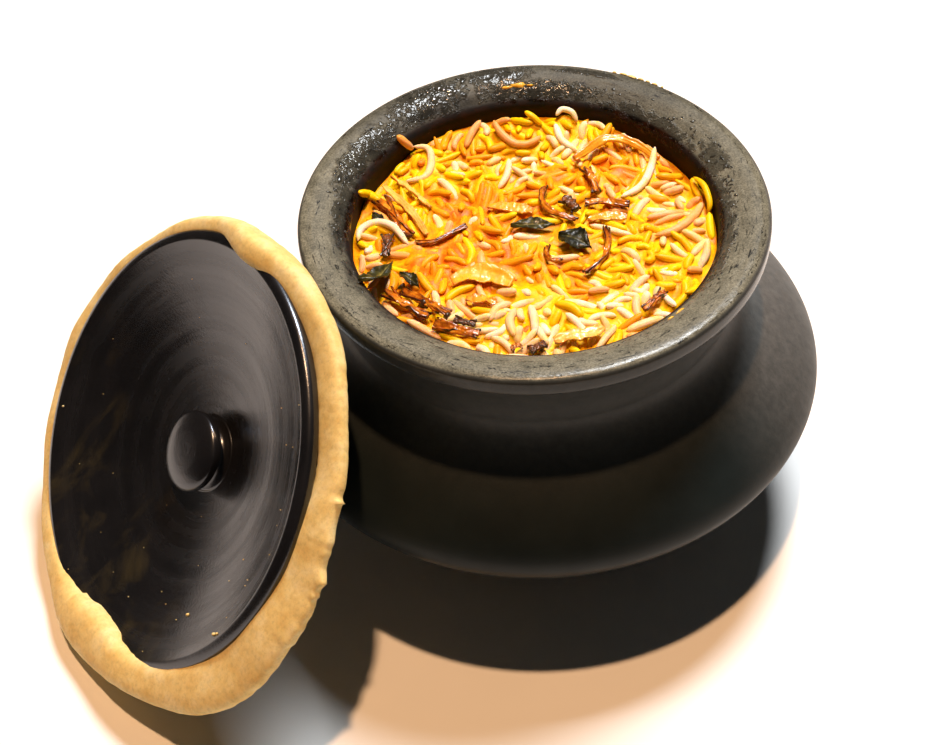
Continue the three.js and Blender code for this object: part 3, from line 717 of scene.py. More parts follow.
# Steps where the inner edge laps further over the lid: angle and millimetres.
STEPS = [(116, 2.2), (110.5, 2.6), (24, 2.0)]
FULLNESS = 0.7  # of the section: 1 is an ellipse, and less is squarer
DOUGH_STEPS, DOUGH_SIDES = 720, 56


def dough_shape():
    """A rolled strip pressed round the lid's edge, torn where the lid was pulled off."""
    angle = np.linspace(0, 360, DOUGH_STEPS, endpoint=False)[:, None]
    section = circle(DOUGH_SIDES)[None, :]
    ripple = 0.35 * np.sin(np.radians(angle * 13 + 75))
    outer = (75.6 + 1.8 * swell(angle, 0, 28) + 7.4 * swell(angle, 60, 27) + 6.6 * swell(angle, 92, 24)
             + 3 * swell(angle, 145, 25) - 1.6 * swell(angle, 235, 30) + 2 * swell(angle, 285, 18)
             + 0.5 * np.sin(np.radians(angle * 7 + 20)))
    inner = 67.5 - 5 * swell(angle, 12, 28) - 2.5 * swell(angle, 190, 11)
    front = (-1.6 + 5.4 * swell(angle, 12, 34) - 3 * swell(angle, 135, 35) + 3.6 * swell(angle, 190, 12)
             + ripple)
    back = DOUGH_BACK + 0.35 + ripple
    turn = np.radians(angle)
    line = around(80, turn[:, 0], 0)
    # The tear left ragged edges and a few pointed tips on the near side.
    ragged = 0.25 + swell(angle, 105, 30)
    tips = sum(reach * np.clip(1 - np.abs(angle - at) / wide, 0, 1) ** 1.4 for at, reach, wide in TIPS)
    for at, reach in STEPS:
        inner = inner - reach / (1 + np.exp((angle - at) / 0.5)) * swell(angle, at - 12, 14)
    outer = outer + 0.5 * ragged * noise(line, 2.4, 33)[:, None]
    inner = inner + 0.8 * ragged * rough(line, 3.0, 37, 2)[:, None]
    inner = inner - 0.9 * rough(line, 12, 51, 2)[:, None] * (0.3 + swell(angle, 10, 50))
    cosine, sine = np.cos(section), np.sin(section)
    radius = (outer + inner) / 2 + (outer - inner) / 2 * np.sign(cosine) * np.abs(cosine) ** FULLNESS
    # The near side is pressed flatter towards its outer edge.
    out = np.clip((radius - inner) / (outer - inner), 0, 1)
    pressed = 0.45 * out**1.5 * swell(angle, 98, 42) * (sine > 0)
    bulge = (front - back) / 2 * (1 - pressed) * np.sign(sine) * np.abs(sine) ** FULLNESS
    p = around(radius + tips * np.clip(cosine, 0, 1) ** 6, turn, (front + back) / 2 + bulge)
    away = around(cosine, turn, sine)
    relief = 0.3 * rough(p, 22, 61, 2) + 0.1 * rough(p, 3.4, 67, 3)
    creases = -0.8 * np.clip(0.06 - np.abs(noise(p * [1, 1, 0.6], 16, 71)), 0, 1)
    p = p + away * (relief + creases - 0.25)[..., None]
    return p.reshape(-1, 3)


# It lies flat on the table where it touches it.
on_table = moved(dough_shape(), lid_place)
on_table[:, 2] = np.maximum(on_table[:, 2], 0.05)
dough_points = moved(on_table, lid_place.inverted())
dough_faces = grid_faces(DOUGH_STEPS, DOUGH_SIDES, wrap=True, loop=True)[:, ::-1]
dough = piece("dough_ring", [(dough_points, [dough_faces])], dough_look(), place=lid_place)
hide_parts("dough_seal")

# ---------------- rice


def rice_level(x, y):
    """Height of the rice. It stands higher against the wall at the back."""
    heap = HEAP * np.clip((y - HEAP_START) / HEAP_RUN, 0, 1)
    return RICE_EDGE + RICE_CROWN * (1 - (x * x + y * y) / MOUTH_RADIUS**2) + heap


# Maps over the mouth, REACH to each side: the surface that pieces come to rest on, its shade from
# 0 for red to 1 for cream, and the ceiling that toppings give the loose grains.
PITCH, REACH = 0.4, 62.0
BED = 2.6  # depth of the uneven bed below the rice's level
axis = np.arange(-REACH, REACH + PITCH / 2, PITCH)
map_x, map_y = np.meshgrid(axis, axis, indexing="ij")
map_r = np.hypot(map_x, map_y)
plan = np.stack([map_x, map_y], -1)
bed = rice_level(map_x, map_y) - BED + 1.1 * rough(plan, 16, 3) + 0.5 * rough(plan, 4, 9)
ceiling = np.full_like(bed, np.inf)
shade = np.full_like(bed, 0.3)
surface = np.where(map_r < MOUTH_RADIUS - 0.5, bed, rim_height(np.maximum(map_r, MOUTH_RADIUS)))


def map_at(heights, x, y):
    i = np.clip(((x + REACH) / PITCH).round().astype(int), 0, len(axis) - 1)
    j = np.clip(((y + REACH) / PITCH).round().astype(int), 0, len(axis) - 1)
    return heights[i, j]


def raise_map(line, radii, tone):
    """Marks a laid piece in the height map, so that later ones lie on it, and its colour."""
    for (x, y, z), r in zip(line, radii):
        i0, i1 = int((x - r + REACH) / PITCH), int((x + r + REACH) / PITCH) + 2
        j0, j1 = int((y - r + REACH) / PITCH), int((y + r + REACH) / PITCH) + 2
        i0, j0 = max(i0, 0), max(j0, 0)
        away = (map_x[i0:i1, j0:j1] - x) ** 2 + (map_y[i0:i1, j0:j1] - y) ** 2
        dome = z + np.sqrt(np.maximum(r * r - away, 0))
        higher = (away < r * r) & (dome > surface[i0:i1, j0:j1])
        surface[i0:i1, j0:j1][higher] = dome[higher]
        shade[i0:i1, j0:j1][higher] = tone

def grain_radii(width, samples):
    """A grain's radius along it: nearly even, with blunt ends."""
    t = np.linspace(-1, 1, samples)
    return width / 2 * (0.9 + 0.1 * np.cos(2 * t)) * np.maximum(1 - np.abs(t) ** 4.5, 0.03) ** 0.5


SETTLE = 0.7  # of a grain's radius: how high its middle line lies over what it rests on


def rest(line, radii):
    """Lowers a line of points onto the map until it lies on two supports. Its z values are its own bends."""
    flat = line - line.mean(0)
    along = np.hypot(flat[:, 0], flat[:, 1]) * np.sign(flat @ (line[-1] - line[0]))
    need = map_at(surface, line[:, 0], line[:, 1]) + SETTLE * radii - line[:, 2]
    slopes = np.linspace(-0.55, 0.55, 23)
    base = (need[None, :] - slopes[:, None] * along[None, :]).max(1) + 0.6 * np.abs(slopes)
    slope = slopes[np.argmin(base)]
    laid = line.copy()
    laid[:, 2] += (need - slope * along).max() + slope * along
    return laid


TUBE_SIDES, TUBE_FLATNESS = 8, 0.86


def tube(line, radii):
    """A closed tube round a line of points, a little lower than it is wide."""
    tangent = unit(np.gradient(line, axis=0))
    across = unit(np.cross(tangent, [0.0, 0.0, 1.0]))
    up = np.cross(across, tangent)
    t = circle(TUBE_SIDES)[:, None]
    ring = np.cos(t) * across[:, None] + TUBE_FLATNESS * np.sin(t) * up[:, None]
    points = line[:, None] + radii[:, None, None] * ring
    quads = grid_faces(len(line), TUBE_SIDES, wrap=True)
    start = np.arange(TUBE_SIDES)[None]
    end = (len(line) - 1) * TUBE_SIDES + start
    return points.reshape(-1, 3), [quads[:, ::-1], start, end[:, ::-1]]


SAMPLES = 12  # points along a loose grain


def grain_line(x, y, length, bend, sway, yaw, lean):
    """The middle line of a grain lying round (x, y). It bends by one angle and sways by the other."""
    t = np.linspace(-1, 1, SAMPLES)
    heading = t * bend / 2 + sway * np.sin(np.pi * t)
    u, v = (np.cumsum(f(heading)) * length / SAMPLES for f in (np.cos, np.sin))
    u, v = u - u.mean(), v - v.mean()
    c, s = math.cos(yaw), math.sin(yaw)
    flat = v * math.cos(lean)
    return np.stack([x + u * c - flat * s, y + u * s + flat * c, v * math.sin(lean)], -1)

# Kinds of rice grain: how common each is everywhere, its shade, and where it gathers: x, y, spread.
KINDS = {
    "yellow": (1.0, 0.5, [
        (-34, 26, 15), (44, -6, 13), (-52, 12, 10), (20, -6, 8), (8, -36, 10), (-44, 38, 9), (34, -20, 10),
        (0, 44, 9), (6, 4, 9), (26, 4, 9), (18, -24, 8), (-20, 28, 9)]),
    "orange": (0.55, 0.25, [
        (-22, 6, 13), (6, 20, 12), (-34, -12, 10), (-18, 44, 10), (30, 30, 10), (12, -18, 10), (-6, -12, 8)]),
    "cream": (0.5, 1.0, [
        (-8, -42, 12), (22, -30, 11), (40, 12, 10), (10, 36, 8), (2, -4, 7), (46, -14, 8), (-24, 30, 6),
        (30, -34, 10), (-2, -34, 9), (52, -4, 7), (-8, 30, 7)]),
    "peach": (0.6, 0.75, [(34, 20, 10), (-46, -4, 9), (44, 4, 9), (-16, -26, 9)]),
    "red": (0.06, 0.0, [(-36, 44, 6), (8, 38, 5), (-20, -24, 4), (48, -24, 4), (32, 26, 5)]),
}
GATHERING = 9  # times as common as yellow is elsewhere
grains = {kind: [] for kind in KINDS}


def kind_at(x, y, random):
    weights = np.array([common for common, _, _ in KINDS.values()])
    for i, (_, _, spots) in enumerate(KINDS.values()):
        for zx, zy, spread in spots:
            weights[i] += GATHERING * math.exp(-((x - zx) ** 2 + (y - zy) ** 2) / spread**2)
    return list(KINDS)[random.choice(len(KINDS), p=weights / weights.sum())]


def add_grain(kind, line, width, random):
    radii = grain_radii(width, len(line))
    raise_map(line, radii, KINDS[kind][1])
    points, faces = tube(line, radii)
    tone = np.full(len(points), np.clip(random.normal(0.5, 0.24), 0, 1))
    grains[kind].append((points, faces, tone))


LENGTHS, WIDTHS = (5.5, 15.5), (2.1, 3.0)  # of loose grains
HIGHEST = 0.45  # of a loose grain's middle, above the rice


def scatter(count, reach, random, tries=4):
    """Lets grains fall on the map. Of a few places, each takes the lowest that is free."""
    for _ in range(count):
        best = None
        for _ in range(tries):
            r, a = reach * math.sqrt(random.uniform(0, 1)), random.uniform(0, 2 * np.pi)
            x, y = r * math.cos(a), r * math.sin(a)
            length = random.uniform(*LENGTHS)
            bend = min(random.gamma(2.0, 0.3) + 0.05, 2.2)
            width = random.uniform(*WIDTHS)
            lean = random.uniform(-0.5, 0.5) if random.uniform() < 0.75 else random.uniform(-1.4, 1.4)
            line = grain_line(x, y, length, bend, random.normal(0, 0.16), random.uniform(0, 2 * np.pi), lean)
            radii = grain_radii(width, SAMPLES)
            if np.any(np.hypot(line[:, 0], line[:, 1]) + radii > MOUTH_RADIUS - 0.7):
                continue
            laid = rest(line, radii)
            score = laid[:, 2].mean() - rice_level(x, y)
            crossing = laid[:, 2] + radii > map_at(ceiling, line[:, 0], line[:, 1]) + 0.4
            if score <= HIGHEST and not crossing.any() and (best is None or score < best[0]):
                best = (score, x, y, laid, width)
        if best:
            _, x, y, laid, width = best
            add_grain(kind_at(x, y, random), laid, width, random)

# ---------------- toppings


def path_over_rice(points, steps):
    """A smooth path through points given as x, y and, where it isn't 0, the height above the rice."""
    return smooth_path([(x, y, rice_level(x, y) + sum(lift)) for x, y, *lift in points], steps)


def ribbon(points, width, thick, roll, seed, curl=0.25, steps_u=72, steps_v=12, char=0.0):
    """A fried onion strip. Returns its mesh part and its tones, 0 for burnt and 1 for pale."""
    path = path_over_rice(points, steps_u)
    tangent = unit(np.gradient(path, axis=0))
    flat = unit(np.stack([-tangent[:, 1], tangent[:, 0], 0 * tangent[:, 0]], -1))
    along = np.linspace(0, 1, steps_u + 1)
    spot = np.stack([along * 40, along * 0 + seed * 13.7], -1)
    tilt = np.radians(roll) + 0.5 * noise(spot, 9, seed)
    across = flat * np.cos(tilt)[:, None] + np.cross(tangent, flat) * np.sin(tilt)[:, None]
    up = np.cross(tangent, across)
    rise = 0.35 + thick / 2 + abs(math.sin(math.radians(roll))) * width / 2

    def local(u, v):
        return np.stack([u * 60 + seed * 31, v * 9], -1)

    def place(u, v, side):
        spot, edge = local(u, v), 2 * v - 1
        taper = 0.35 + 0.65 * np.sin(np.pi * (0.08 + 0.84 * u)) ** 0.6
        breadth = 0.88 * width * taper * (1 + 0.3 * rough(spot * [1, 0], 7, seed + 2))
        cup = curl * breadth * edge**2 * 0.5 + 0.35 * noise(spot, 6, seed + 5) * np.abs(edge)
        fibres = 0.05 * np.sin(v * 17 + 2 * noise(spot, 14, seed + 6)) + 0.16 * rough(spot, 3, seed + 9)
        thin = thick / 2 * (1 - 0.75 * np.abs(edge) ** 3)
        p = path[:, None, :] + across[:, None, :] * (edge * breadth / 2)[..., None]
        p = p + up[:, None, :] * (cup + side * thin + fibres)[..., None]
        p[..., 2] += rise
        return p

    def tone(u, v):
        ends = 0.25 * np.abs(2 * v - 1) ** 4 + 0.3 * np.abs(2 * u - 1) ** 6
        return np.clip(0.55 + 0.3 * rough(local(u, v), 9, seed + 3) - ends - char, 0, 1)

    return slab(steps_u, steps_v, place, tone)


def lower_ceiling(points, width):
    """Keeps loose grains below a topping."""
    for x, y, z in path_over_rice(points, 24):
        under = (map_x - x) ** 2 + (map_y - y) ** 2 < (width / 2 - 0.3) ** 2
        ceiling[under] = np.minimum(ceiling[under], z + 0.35)


# Fried onion strips: kind, width, thickness, roll in degrees, and points as x, y, height above the rice.
ONIONS = {
    "onion_arch": ("amber", 3.8, 1.3, 35, [
        (15.2, 30.8, 1), (19.1, 34, 1.4), (22.7, 37, 1.6), (27, 38.9, 1.7), (31.4, 38.6, 1.6),
        (36.4, 36.2, 1.3), (40.2, 32.4, 0.8), (42.5, 29.5, 0.4)]),
    "onion_glossy": ("brown", 3, 1.3, -20, [
        (18.4, 26.6, 1), (19.6, 23.6, 1.2), (20.6, 19.6, 1), (21.1, 14.6, 0.6)]),
    "onion_flat": ("amber", 4.4, 1.1, 0, [
        (-13.8, 12.3, 0.2), (-8.6, 11.2, 0.4), (-3.6, 9.8, 0.5), (0.4, 8.4, 0.2)]),
    "onion_hook": ("brown", 2.4, 1.2, 30, [
        (4.6, 18.6, 0.6), (3.5, 12.6, 0.8), (5.6, 7.2, 0.8), (9, 4.6, 0.8), (13.4, 2.4, 0.4)]),
    "onion_chunk": ("burnt", 4, 2.2, 15, [(10.6, 12.4, 0.4), (12.4, 9.4, 0.8), (14, 6.6, 0.4)]),
    "onion_right": ("brown", 3, 1.3, 18, [
        (17, 10.4, 0.4), (21.2, 10.2, 0.8), (25.6, 9.2, 0.8), (31, 8.4, 0.4)]),
    "onion_flap": ("amber", 4, 1, 0, [(17.6, 2.8, 0.2), (21, 3.6, 0.4), (25.2, 3.9, 0.4), (29.6, 3.2, 0.2)]),
    "onion_tail": ("brown", 1.9, 1.1, 35, [
        (22.6, -1.6, 0.4), (22.6, -9, 0.8), (20.6, -15.4, 0.8), (17.6, -18.8, 0.7), (14.2, -21.4, 0.4)]),
    "onion_curl": ("brown", 1.8, 1.1, 30, [
        (3.6, -8.6, 0.3), (3.1, -12.2, 0.6), (4.4, -15, 0.6), (7.2, -15.2, 0.3)]),
    "onion_left": ("brown", 4, 1.3, 0, [
        (-48.6, 19.8, 0.2), (-45, 14, 0.7), (-42, 6.6, 0.7), (-39.2, 0.6, 0.3)]),
    "onion_left_tail": ("brown", 1.8, 1.1, 0, [
        (-37, -2.4, 0.3), (-32.1, -2.6, 0.6), (-27.3, -0.4, 0.6), (-20.9, 3.5, 0.3)]),
    "onion_pale_left": ("pale", 2.8, 1, 15, [
        (-46.8, 26.2, 0.4), (-43.4, 20.4, 0.7), (-39.6, 14.6, 0.8), (-36.2, 7.9, 0.8), (-33.6, 0.8, 0.3)]),
    "onion_pale_upper": ("pale", 2.6, 1, -15, [
        (-44.2, 30.4, 0.4), (-39.8, 24.8, 0.8), (-36, 19.2, 0.7), (-32, 13.6, 0.3)]),
    "onion_dark_strip": ("burnt", 3.2, 1.2, 0, [(-46, 2.6, 0.2), (-46.2, -2.6, 0.5), (-46.9, -7, 0.2)]),
    "onion_clump_upper": ("brown", 3.8, 1.3, -18, [
        (-46.8, -23, 0.4), (-43.4, -27.4, 0.9), (-39.4, -31.6, 0.8), (-34.4, -35.6, 0.4)]),
    "onion_clump_middle": ("brown", 3, 1.2, 18, [
        (-41.6, -23.4, 0.4), (-37.4, -27.4, 1), (-32.8, -31.2, 1), (-27.8, -34.8, 0.4)]),
    "onion_clump_lower": ("brown", 3.8, 1.3, 20, [
        (-32.4, -38.2, 0.4), (-28.2, -41, 0.8), (-24, -42.9, 0.8), (-19.4, -44.2, 0.4)]),
    "onion_clump_edge": ("burnt", 2.8, 1.4, 0, [
        (-26.6, -37.2, 0.3), (-23.4, -38.7, 0.6), (-20.2, -39.6, 0.3)]),
    "onion_bottom": ("pale", 5, 1.3, 12, [
        (2.6, -48.6, 0.2), (7.4, -47.7, 0.7), (12.8, -47.1, 0.7), (17.5, -44.5, 0.2)]),
    "onion_burnt": ("burnt", 3, 1.6, 0, [(-4.8, -51.8, 0.3), (-2.6, -51, 0.8), (0, -49.8, 0.3)]),
    "onion_bottom_curl": ("brown", 1.8, 1.2, 20, [(-10.2, -51, 0.2), (-8.8, -49.4, 0.6), (-7, -50, 0.2)]),
    "onion_pale_layer": ("amber", 7, 1.1, 0, [
        (-26.6, -20.6, 0.2), (-21.2, -18.9, 0.5), (-14.8, -19.3, 0.5), (-8.3, -23.2, 0.2)]),
    "onion_speckled": ("amber", 4.4, 1, 0, [(-22.6, -28.4, 0.1), (-18.4, -29.3, 0.4), (-13.6, -30.6, 0.1)]),
    "onion_bit": ("brown", 2.4, 1.2, 0, [(37.4, -30.1, 0.1), (34.6, -33.5, 0.5), (30.5, -37.6, 0.1)]),
}
# How some of them are cupped (curl) or fried lighter than their kind (char below 0).
FINISH = {
    "onion_arch": dict(char=-0.1),
    "onion_flat": dict(char=-0.15),
    "onion_pale_layer": dict(curl=0.35, char=-0.3),
}

fried = {
    "brown": fried_look("fried_onion_brown", (0.14, (0.05, 0.010, 0.002)), (0.38, (0.34, 0.078, 0.004)),
                        (0.6, (0.64, 0.20, 0.008)), (0.92, (0.84, 0.44, 0.04)), roughness=0.26),
    "amber": fried_look("fried_onion_amber", (0.1, (0.34, 0.075, 0.004)), (0.4, (0.72, 0.27, 0.010)),
                        (0.85, (0.86, 0.46, 0.03)), roughness=0.34),
    "pale": fried_look("fried_onion_pale", (0.05, (0.48, 0.16, 0.015)), (0.35, (0.80, 0.42, 0.06)),
                       (0.8, (0.88, 0.60, 0.17)), roughness=0.36),
    "burnt": fried_look("fried_onion_burnt", (0.1, (0.012, 0.006, 0.002)), (0.5, (0.11, 0.030, 0.003)),
                        (0.9, (0.42, 0.11, 0.008)), roughness=0.42),
}


def strand(points, width, side, seed):
    """A thin strand that has come off a strip and crosses it from one side to the other."""
    points = np.array(points, float)
    along = points[-1, :2] - points[0, :2]
    across = np.array([-along[1], along[0]]) / np.linalg.norm(along)
    drift = side * width * np.linspace(0.6, -0.45, len(points))
    points[:, :2] += drift[:, None] * across
    points[:, 2] += 0.45
    return ribbon(points, 0.35 * width, 0.8, 40 * side, seed, steps_u=48, steps_v=6, char=0.12)


for number, (name, (kind, width, thick, roll, points)) in enumerate(ONIONS.items(), 1):
    layers = [ribbon(points, width, thick, roll, number, **FINISH.get(name, {}))]
    if kind in ("brown", "burnt"):
        layers += [strand(points, width, side, number + 39) for side in (-1, 1)]
    o = piece(name + "_strip", [part for part, _ in layers], fried[kind], [tone for _, tone in layers])
    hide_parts(name)
    lower_ceiling(points, width)


def leaf(seed, points, width, thick, fold=0.25, wave=0.5, age=0.0):
    """A fried leaf with a midrib and a crumpled blade. age darkens it."""
    steps_u, steps_v = 56, 24
    path = path_over_rice(points, steps_u)
    tangent = np.gradient(path, axis=0)
    across = unit(np.stack([-tangent[:, 1], tangent[:, 0], 0 * tangent[:, 0]], -1))

    def place(u, v, side):
        edge = 2 * v - 1
        half = width / 2 * (0.05 + 0.95 * np.sin(np.pi * u**0.85) ** 1.15) * (1 + 0.03 * np.sin(u * 46))
        local = np.stack([u * 14 + seed * 9, edge * half], -1)
        out = np.abs(edge)
        crumple = 0.5 * rough(local, 3.4, seed + 21, 3) + 0.14 * np.sin(u * 30 - out * 5) * out
        up = out * half * fold + wave * np.sin(9 * u + 2 * edge) * out + crumple
        up = up - 0.25 * np.exp(-((edge / 0.1) ** 2))
        p = path[:, None, :] + across[:, None, :] * (edge * half)[..., None]
        p[..., 2] += 0.35 + thick / 2 + wave + up + side * thick / 2 * (1 - 0.6 * out**3)
        return p

    def tone(u, v):
        midrib = np.exp(-(((2 * v - 1) / 0.12) ** 2))
        return np.clip(0.55 - age + 0.3 * midrib, 0, 1)

    return slab(steps_u, steps_v, place, tone)


# Mint leaves: points are x, y, height above the rice.
LEAVES = {
    "leaf_middle": dict(width=5.2, thick=0.6, points=[
        (-7.2, 2.8), (-3.2, 2, 0.6), (2, 1.4, 0.6), (6.8, 1.4)]),
    "leaf_dark": dict(width=9, thick=0.6, wave=0.8, age=0.2, points=[
        (7.4, -3.6), (12.4, -7, 1), (17.2, -10.4)]),
    "leaf_small": dict(width=3.2, thick=0.6, age=0.2, points=[(-50.8, 14), (-48.8, 10.8, 0.5), (-46.8, 7.4)]),
    "leaf_crisp": dict(width=6, thick=0.8, fold=0.35, wave=0.7, points=[
        (-54.8, -24.6, 8), (-51.6, -22.6, 6.4), (-48.8, -18.3, 2.4), (-46.4, -13.5, 1.2), (-44.6, -10)]),
    "leaf_crumpled": dict(width=4.2, thick=0.7, fold=0.4, wave=0.7, age=0.1, points=[
        (-42.6, -15.6), (-40, -18, 0.7), (-36.6, -22.2)]),
}
mint = leaf_look()
for number, (name, shape) in enumerate(LEAVES.items(), 1):
    part, tone = leaf(number, **shape)
    o = piece(name + "_blade", [part], mint, [tone])
    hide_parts(name)
    lower_ceiling(shape["points"], shape["width"])

# Burnt crumbs among the strips at the front left: x, y, height above the rice, size.
BURNT = [(-35.5, -29.5, 2.4, 3.4), (-28.6, -35.2, 2.2, 2.6), (-42, -20.4, 1.4, 2.4), (-31.4, -33, 2.2, 1.6),
         (-22.4, -41, 1.8, 1.8), (12.2, 5.4, 1.6, 1.6), (-1.2, -51, 1.8, 1.5)]
crumbs = []
for x, y, lift, size in BURNT:
    at = (x, y, rice_level(x, y) + lift - 0.8)
    crumbs.append(blob(at, (0.2, -0.2, 1), size, size * 0.5, random, 1.2, rings=6, sides=16))
o = piece("onion_crumbs", crumbs, fried["burnt"], [np.full(len(p), 0.25) for p, _ in crumbs])

random = np.random.default_rng(23)
scatter(2300, MOUTH_RADIUS - 1.5, random)

# ---------------- single grains that stand out

# kind, width, and points of the grain's middle line: x, y, height above the rice.
LONE_GRAINS = [
    ("cream", 2.6, [
        (-36.8, 43.6, 1.4), (-32, 42.2, 1.6), (-31.2, 35.2, 1.6), (-33.7, 28.9, 1.4), (-40.2, 28.2, 1.0)]),
    ("peach", 3.0, [(-41.7, 42.3, 7.9), (-39.3, 42.1, 5), (-37, 42.9, 1.0)]),
    ("yellow", 3.2, [(-54.4, 18.4, 6.4), (-51.7, 22.4, 1.8), (-48.2, 18.9, 1.8)]),
    ("cream", 2.7, [
        (-55.4, 1.4, 1.2), (-54.4, 6.3, 1.4), (-49.9, 8.5, 1.8), (-44.5, 5.8, 2.2), (-39.6, -2.7, 1.4)]),
    ("cream", 2.7, [(28.7, 12.9, 1.2), (35.2, 16.9, 1.6), (39.2, 23.9, 2.6), (41.8, 32.7, 5)]),
    ("yellow", 2.6, [(52.2, 19.3, 2.5), (52.7, 15.4, 1.6), (53.7, 10.9, 1.2)]),
    ("yellow", 2.2, [(52.4, 17.4, 4.5), (54.9, 13.2, 4.8), (55.8, 8.7, 4.2), (56, 5.3, 3), (55.3, 3.6, 1.2)]),
    ("peach", 3.0, [(54.4, 8.9, 1.2), (49.9, 1.5, 1.4), (43.9, -3.7, 1.2), (37.4, -5.6, 0.9)]),
    ("cream", 2.2, [(11, 50.5, 3.4), (13.1, 52.6, 4.2), (16.4, 51.7, 3.4), (17.8, 49.1, 1.5)]),
    ("cream", 2.6, [(10.5, 49, 1.4), (12.2, 41.8, 1.3), (16.8, 37.2, 1)]),
    ("yellow", 2.2, [(0.8, 52.8, 4.2), (3.6, 50.7, 3), (6.1, 48.9, 1.2)]),
    ("peach", 2.8, [(-9.7, 49.8, 3.6), (-8, 45.9, 2.6), (-3.3, 41.3, 1.6), (1, 41.2, 1.3), (5.5, 44.1, 1.2)]),
    ("peach", 2.6, [(-19.5, 41.6, 1.2), (-17.2, 47, 1.8), (-14, 51.1, 3)]),
    ("orange", 2.8, [(28.8, 46.2, 3), (26.2, 42.5, 1.8), (23.5, 39.2, 1.2)]),
    ("cream", 2.6, [(32.2, 43.4, 1.2), (33.4, 39, 1.3), (34, 35.3, 1.2)]),
    ("cream", 2.8, [(-8, -34, 1.1), (-10, -39, 1.3), (-9, -45, 1.0)]),
    ("cream", 2.8, [(-3.4, -33, 1.1), (-2.6, -39, 1.3), (-2.8, -45, 1.0)]),
    ("cream", 2.7, [(-16, -38, 1.0), (-13.6, -33.6, 1.3), (-9, -31.4, 1.0)]),
    ("yellow", 3.2, [(4, -33, 1.1), (9, -35, 1.3), (12, -39, 1.0)]),
]
random = np.random.default_rng(5)
for kind, width, points in LONE_GRAINS:
    add_grain(kind, path_over_rice(points, 18), width, random)

LOOKS = {
    "yellow": grain_look("rice_yellow", (0.80, 0.46, 0.001), (0.88, 0.66, 0.004), (0.82, 0.40, 0.003)),
    "orange": grain_look("rice_orange", (0.76, 0.29, 0.003), (0.84, 0.44, 0.006), (0.80, 0.34, 0.003)),
    "cream": grain_look("rice_cream", (0.80, 0.54, 0.28), (0.89, 0.77, 0.58), (0.82, 0.54, 0.10)),
    "peach": grain_look("rice_peach", (0.78, 0.38, 0.12), (0.86, 0.56, 0.30), (0.80, 0.34, 0.04)),
    "red": grain_look("rice_red", (0.74, 0.12, 0.010), (0.84, 0.26, 0.02), (0.80, 0.26, 0.01)),
}
for kind, laid in grains.items():
    o = piece("rice_" + kind, [(p, f) for p, f, _ in laid], LOOKS[kind], [t for _, _, t in laid])

# ---------------- rice below, and the fat on it


def blurred(heights, size):
    """The map smoothed over size millimetres."""
    reach = int(3 * size / PITCH)
    bell = np.exp(-((np.arange(-reach, reach + 1) * PITCH / size) ** 2) / 2)
    bell /= bell.sum()
    for direction in (0, 1):
        padded = np.pad(heights, reach, mode="edge")
        heights = np.apply_along_axis(np.convolve, direction, padded, bell, "same")
        heights = heights[reach:-reach, reach:-reach]
    return heights


def hills(spots):
    """A hill on the map at each spot, given as x, y, spread."""
    return sum(np.exp(-((map_x - x) ** 2 + (map_y - y) ** 2) / spread**2) for x, y, spread in spots)


# Where fat and mashed rice fill the gaps between the grains, and where they are redder.
POOLS = [
    (-28, 2, 13), (-38, -8, 9), (29, 27, 9), (6, -4, 11), (20, -10, 8), (-10, 16, 11), (-12, -14, 11),
    (-24, -12, 11), (40, -24, 7), (-30, 24, 7), (34, 4, 7), (-2, -28, 7), (8, 30, 7), (22, -34, 6),
]
REDDER = [(-20, -2, 20)]

pooled = np.clip(hills(POOLS), 0, 1)
grain_tops = np.where(map_r < MOUTH_RADIUS - 1, surface, rice_level(map_x, map_y) - 1)
film = blurred(grain_tops, 1.4) - 0.55 + 0.8 * pooled + 0.35 * rough(plan, 6, 77)
film = np.minimum(film, blurred(np.minimum(ceiling, 200), 0.6) - 0.3)
film_tone = blurred(shade, 2.0) * 0.7 - 0.08 * pooled - 0.12 * hills(REDDER)

# The filling: its top is the film over the grains' lower halves, and it leaves room to the wall.
ROOM = 0.35
rings, sectors = 110, 360
r = np.linspace(0, 1, rings + 1)[1:] * (MOUTH_RADIUS - 0.4)
t = circle(sectors)
top = around(r[:, None], t, 0)
top_x, top_y = top[..., 0], top[..., 1]
top[..., 2] = map_at(film, top_x, top_y)
wall = body_run(WALL + ROOM, 14, 14)
wall_r, wall_z = wall[wall[:, 1] < RICE_EDGE - 8].T[..., None]
lower = around(wall_r, t, wall_z)
middle = film[len(axis) // 2, len(axis) // 2]
core_part = closed(np.concatenate([lower, top[::-1]]), (0, 0, WALL + ROOM), (0, 0, middle))
core_tone = np.full(len(core_part[0]), 0.3)
core_tone[len(lower) * sectors:-2] = map_at(film_tone, top_x, top_y)[::-1].ravel()
core_look = fat_look("rice_and_fat", 0.42, (0.0, (0.70, 0.16, 0.004)), (0.22, (0.78, 0.32, 0.003)),
                     (0.42, (0.85, 0.50, 0.003)), (0.66, (0.86, 0.56, 0.015)), (0.95, (0.88, 0.66, 0.20)))
core = piece("rice_below", [core_part], core_look, [core_tone])
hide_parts("rice")

# ---------------- table, light and camera

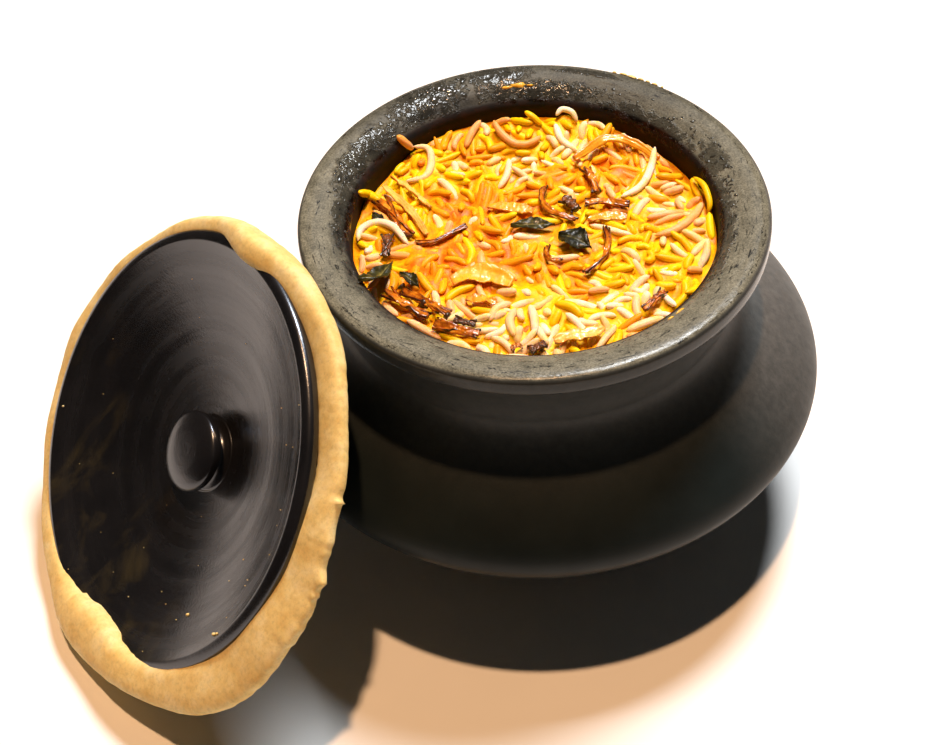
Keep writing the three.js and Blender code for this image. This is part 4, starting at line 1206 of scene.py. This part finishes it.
TABLE = 600
corners = np.array([(-TABLE, -TABLE, 0), (TABLE, -TABLE, 0), (TABLE, TABLE, 0), (-TABLE, TABLE, 0)], float)
table = new_object("table", corners, [(0, 1, 2, 3)], table_look())


LIT_POINT = Vector((-0.02, 0, 0.05))  # in metres


def lamp(name, kind, power, colour, azimuth, elevation, distance=1.0, **settings):
    """A light that shines at the pot from the given direction, in degrees, and distance, in metres."""
    data = bpy.data.lights.new(name, kind)
    data.energy, data.color = power, colour
    for key, value in settings.items():
        setattr(data, key, value)
    a, e = math.radians(azimuth), math.radians(elevation)
    towards = Vector((math.cos(a) * math.cos(e), math.sin(a) * math.cos(e), math.sin(e)))
    o = bpy.data.objects.new(name, data)
    o.location = LIT_POINT + towards * distance
    o.rotation_euler = towards.to_track_quat("Z", "Y").to_euler()
    bpy.context.scene.collection.objects.link(o)


lamp("overhead", "SUN", 2.6, (1.0, 0.58, 0.30), 0, 90, angle=math.radians(2.5))
lamp("window", "AREA", 33.5, (0.95, 0.98, 1.0), 58, 64, 1.6, shape="DISK", size=0.39)

world = bpy.data.worlds.new("studio")
world.use_nodes = True
world.node_tree.nodes["Background"].inputs["Color"].default_value = (1.0, 0.98, 0.95, 1)
world.node_tree.nodes["Background"].inputs["Strength"].default_value = 0.02
bpy.context.scene.world = world

# The camera looks down at the pot from the front, turned a little about its own axis.
LENS, DISTANCE = 70.33, 626.4
TILT, ROLL = math.radians(46.78), math.radians(-3.76)
aim = Vector((-21.81, 0, 44.36))
back = Vector((0, -math.cos(TILT), math.sin(TILT)))
right = Vector((1, 0, 0))
up = back.cross(right)
camera_x = right * math.cos(ROLL) + up * math.sin(ROLL)
camera_y = up * math.cos(ROLL) - right * math.sin(ROLL)
data = bpy.data.cameras.new("camera")
data.lens, data.sensor_width, data.clip_start, data.clip_end = LENS, 36, 0.01, 20
camera = bpy.data.objects.new("camera", data)
camera.matrix_world = Matrix.Translation((aim + back * DISTANCE) * MM) @ Matrix(
    (camera_x, camera_y, back)).transposed().to_4x4()
bpy.context.scene.collection.objects.link(camera)
bpy.context.scene.camera = camera
bpy.context.scene.view_settings.view_transform = "Standard"
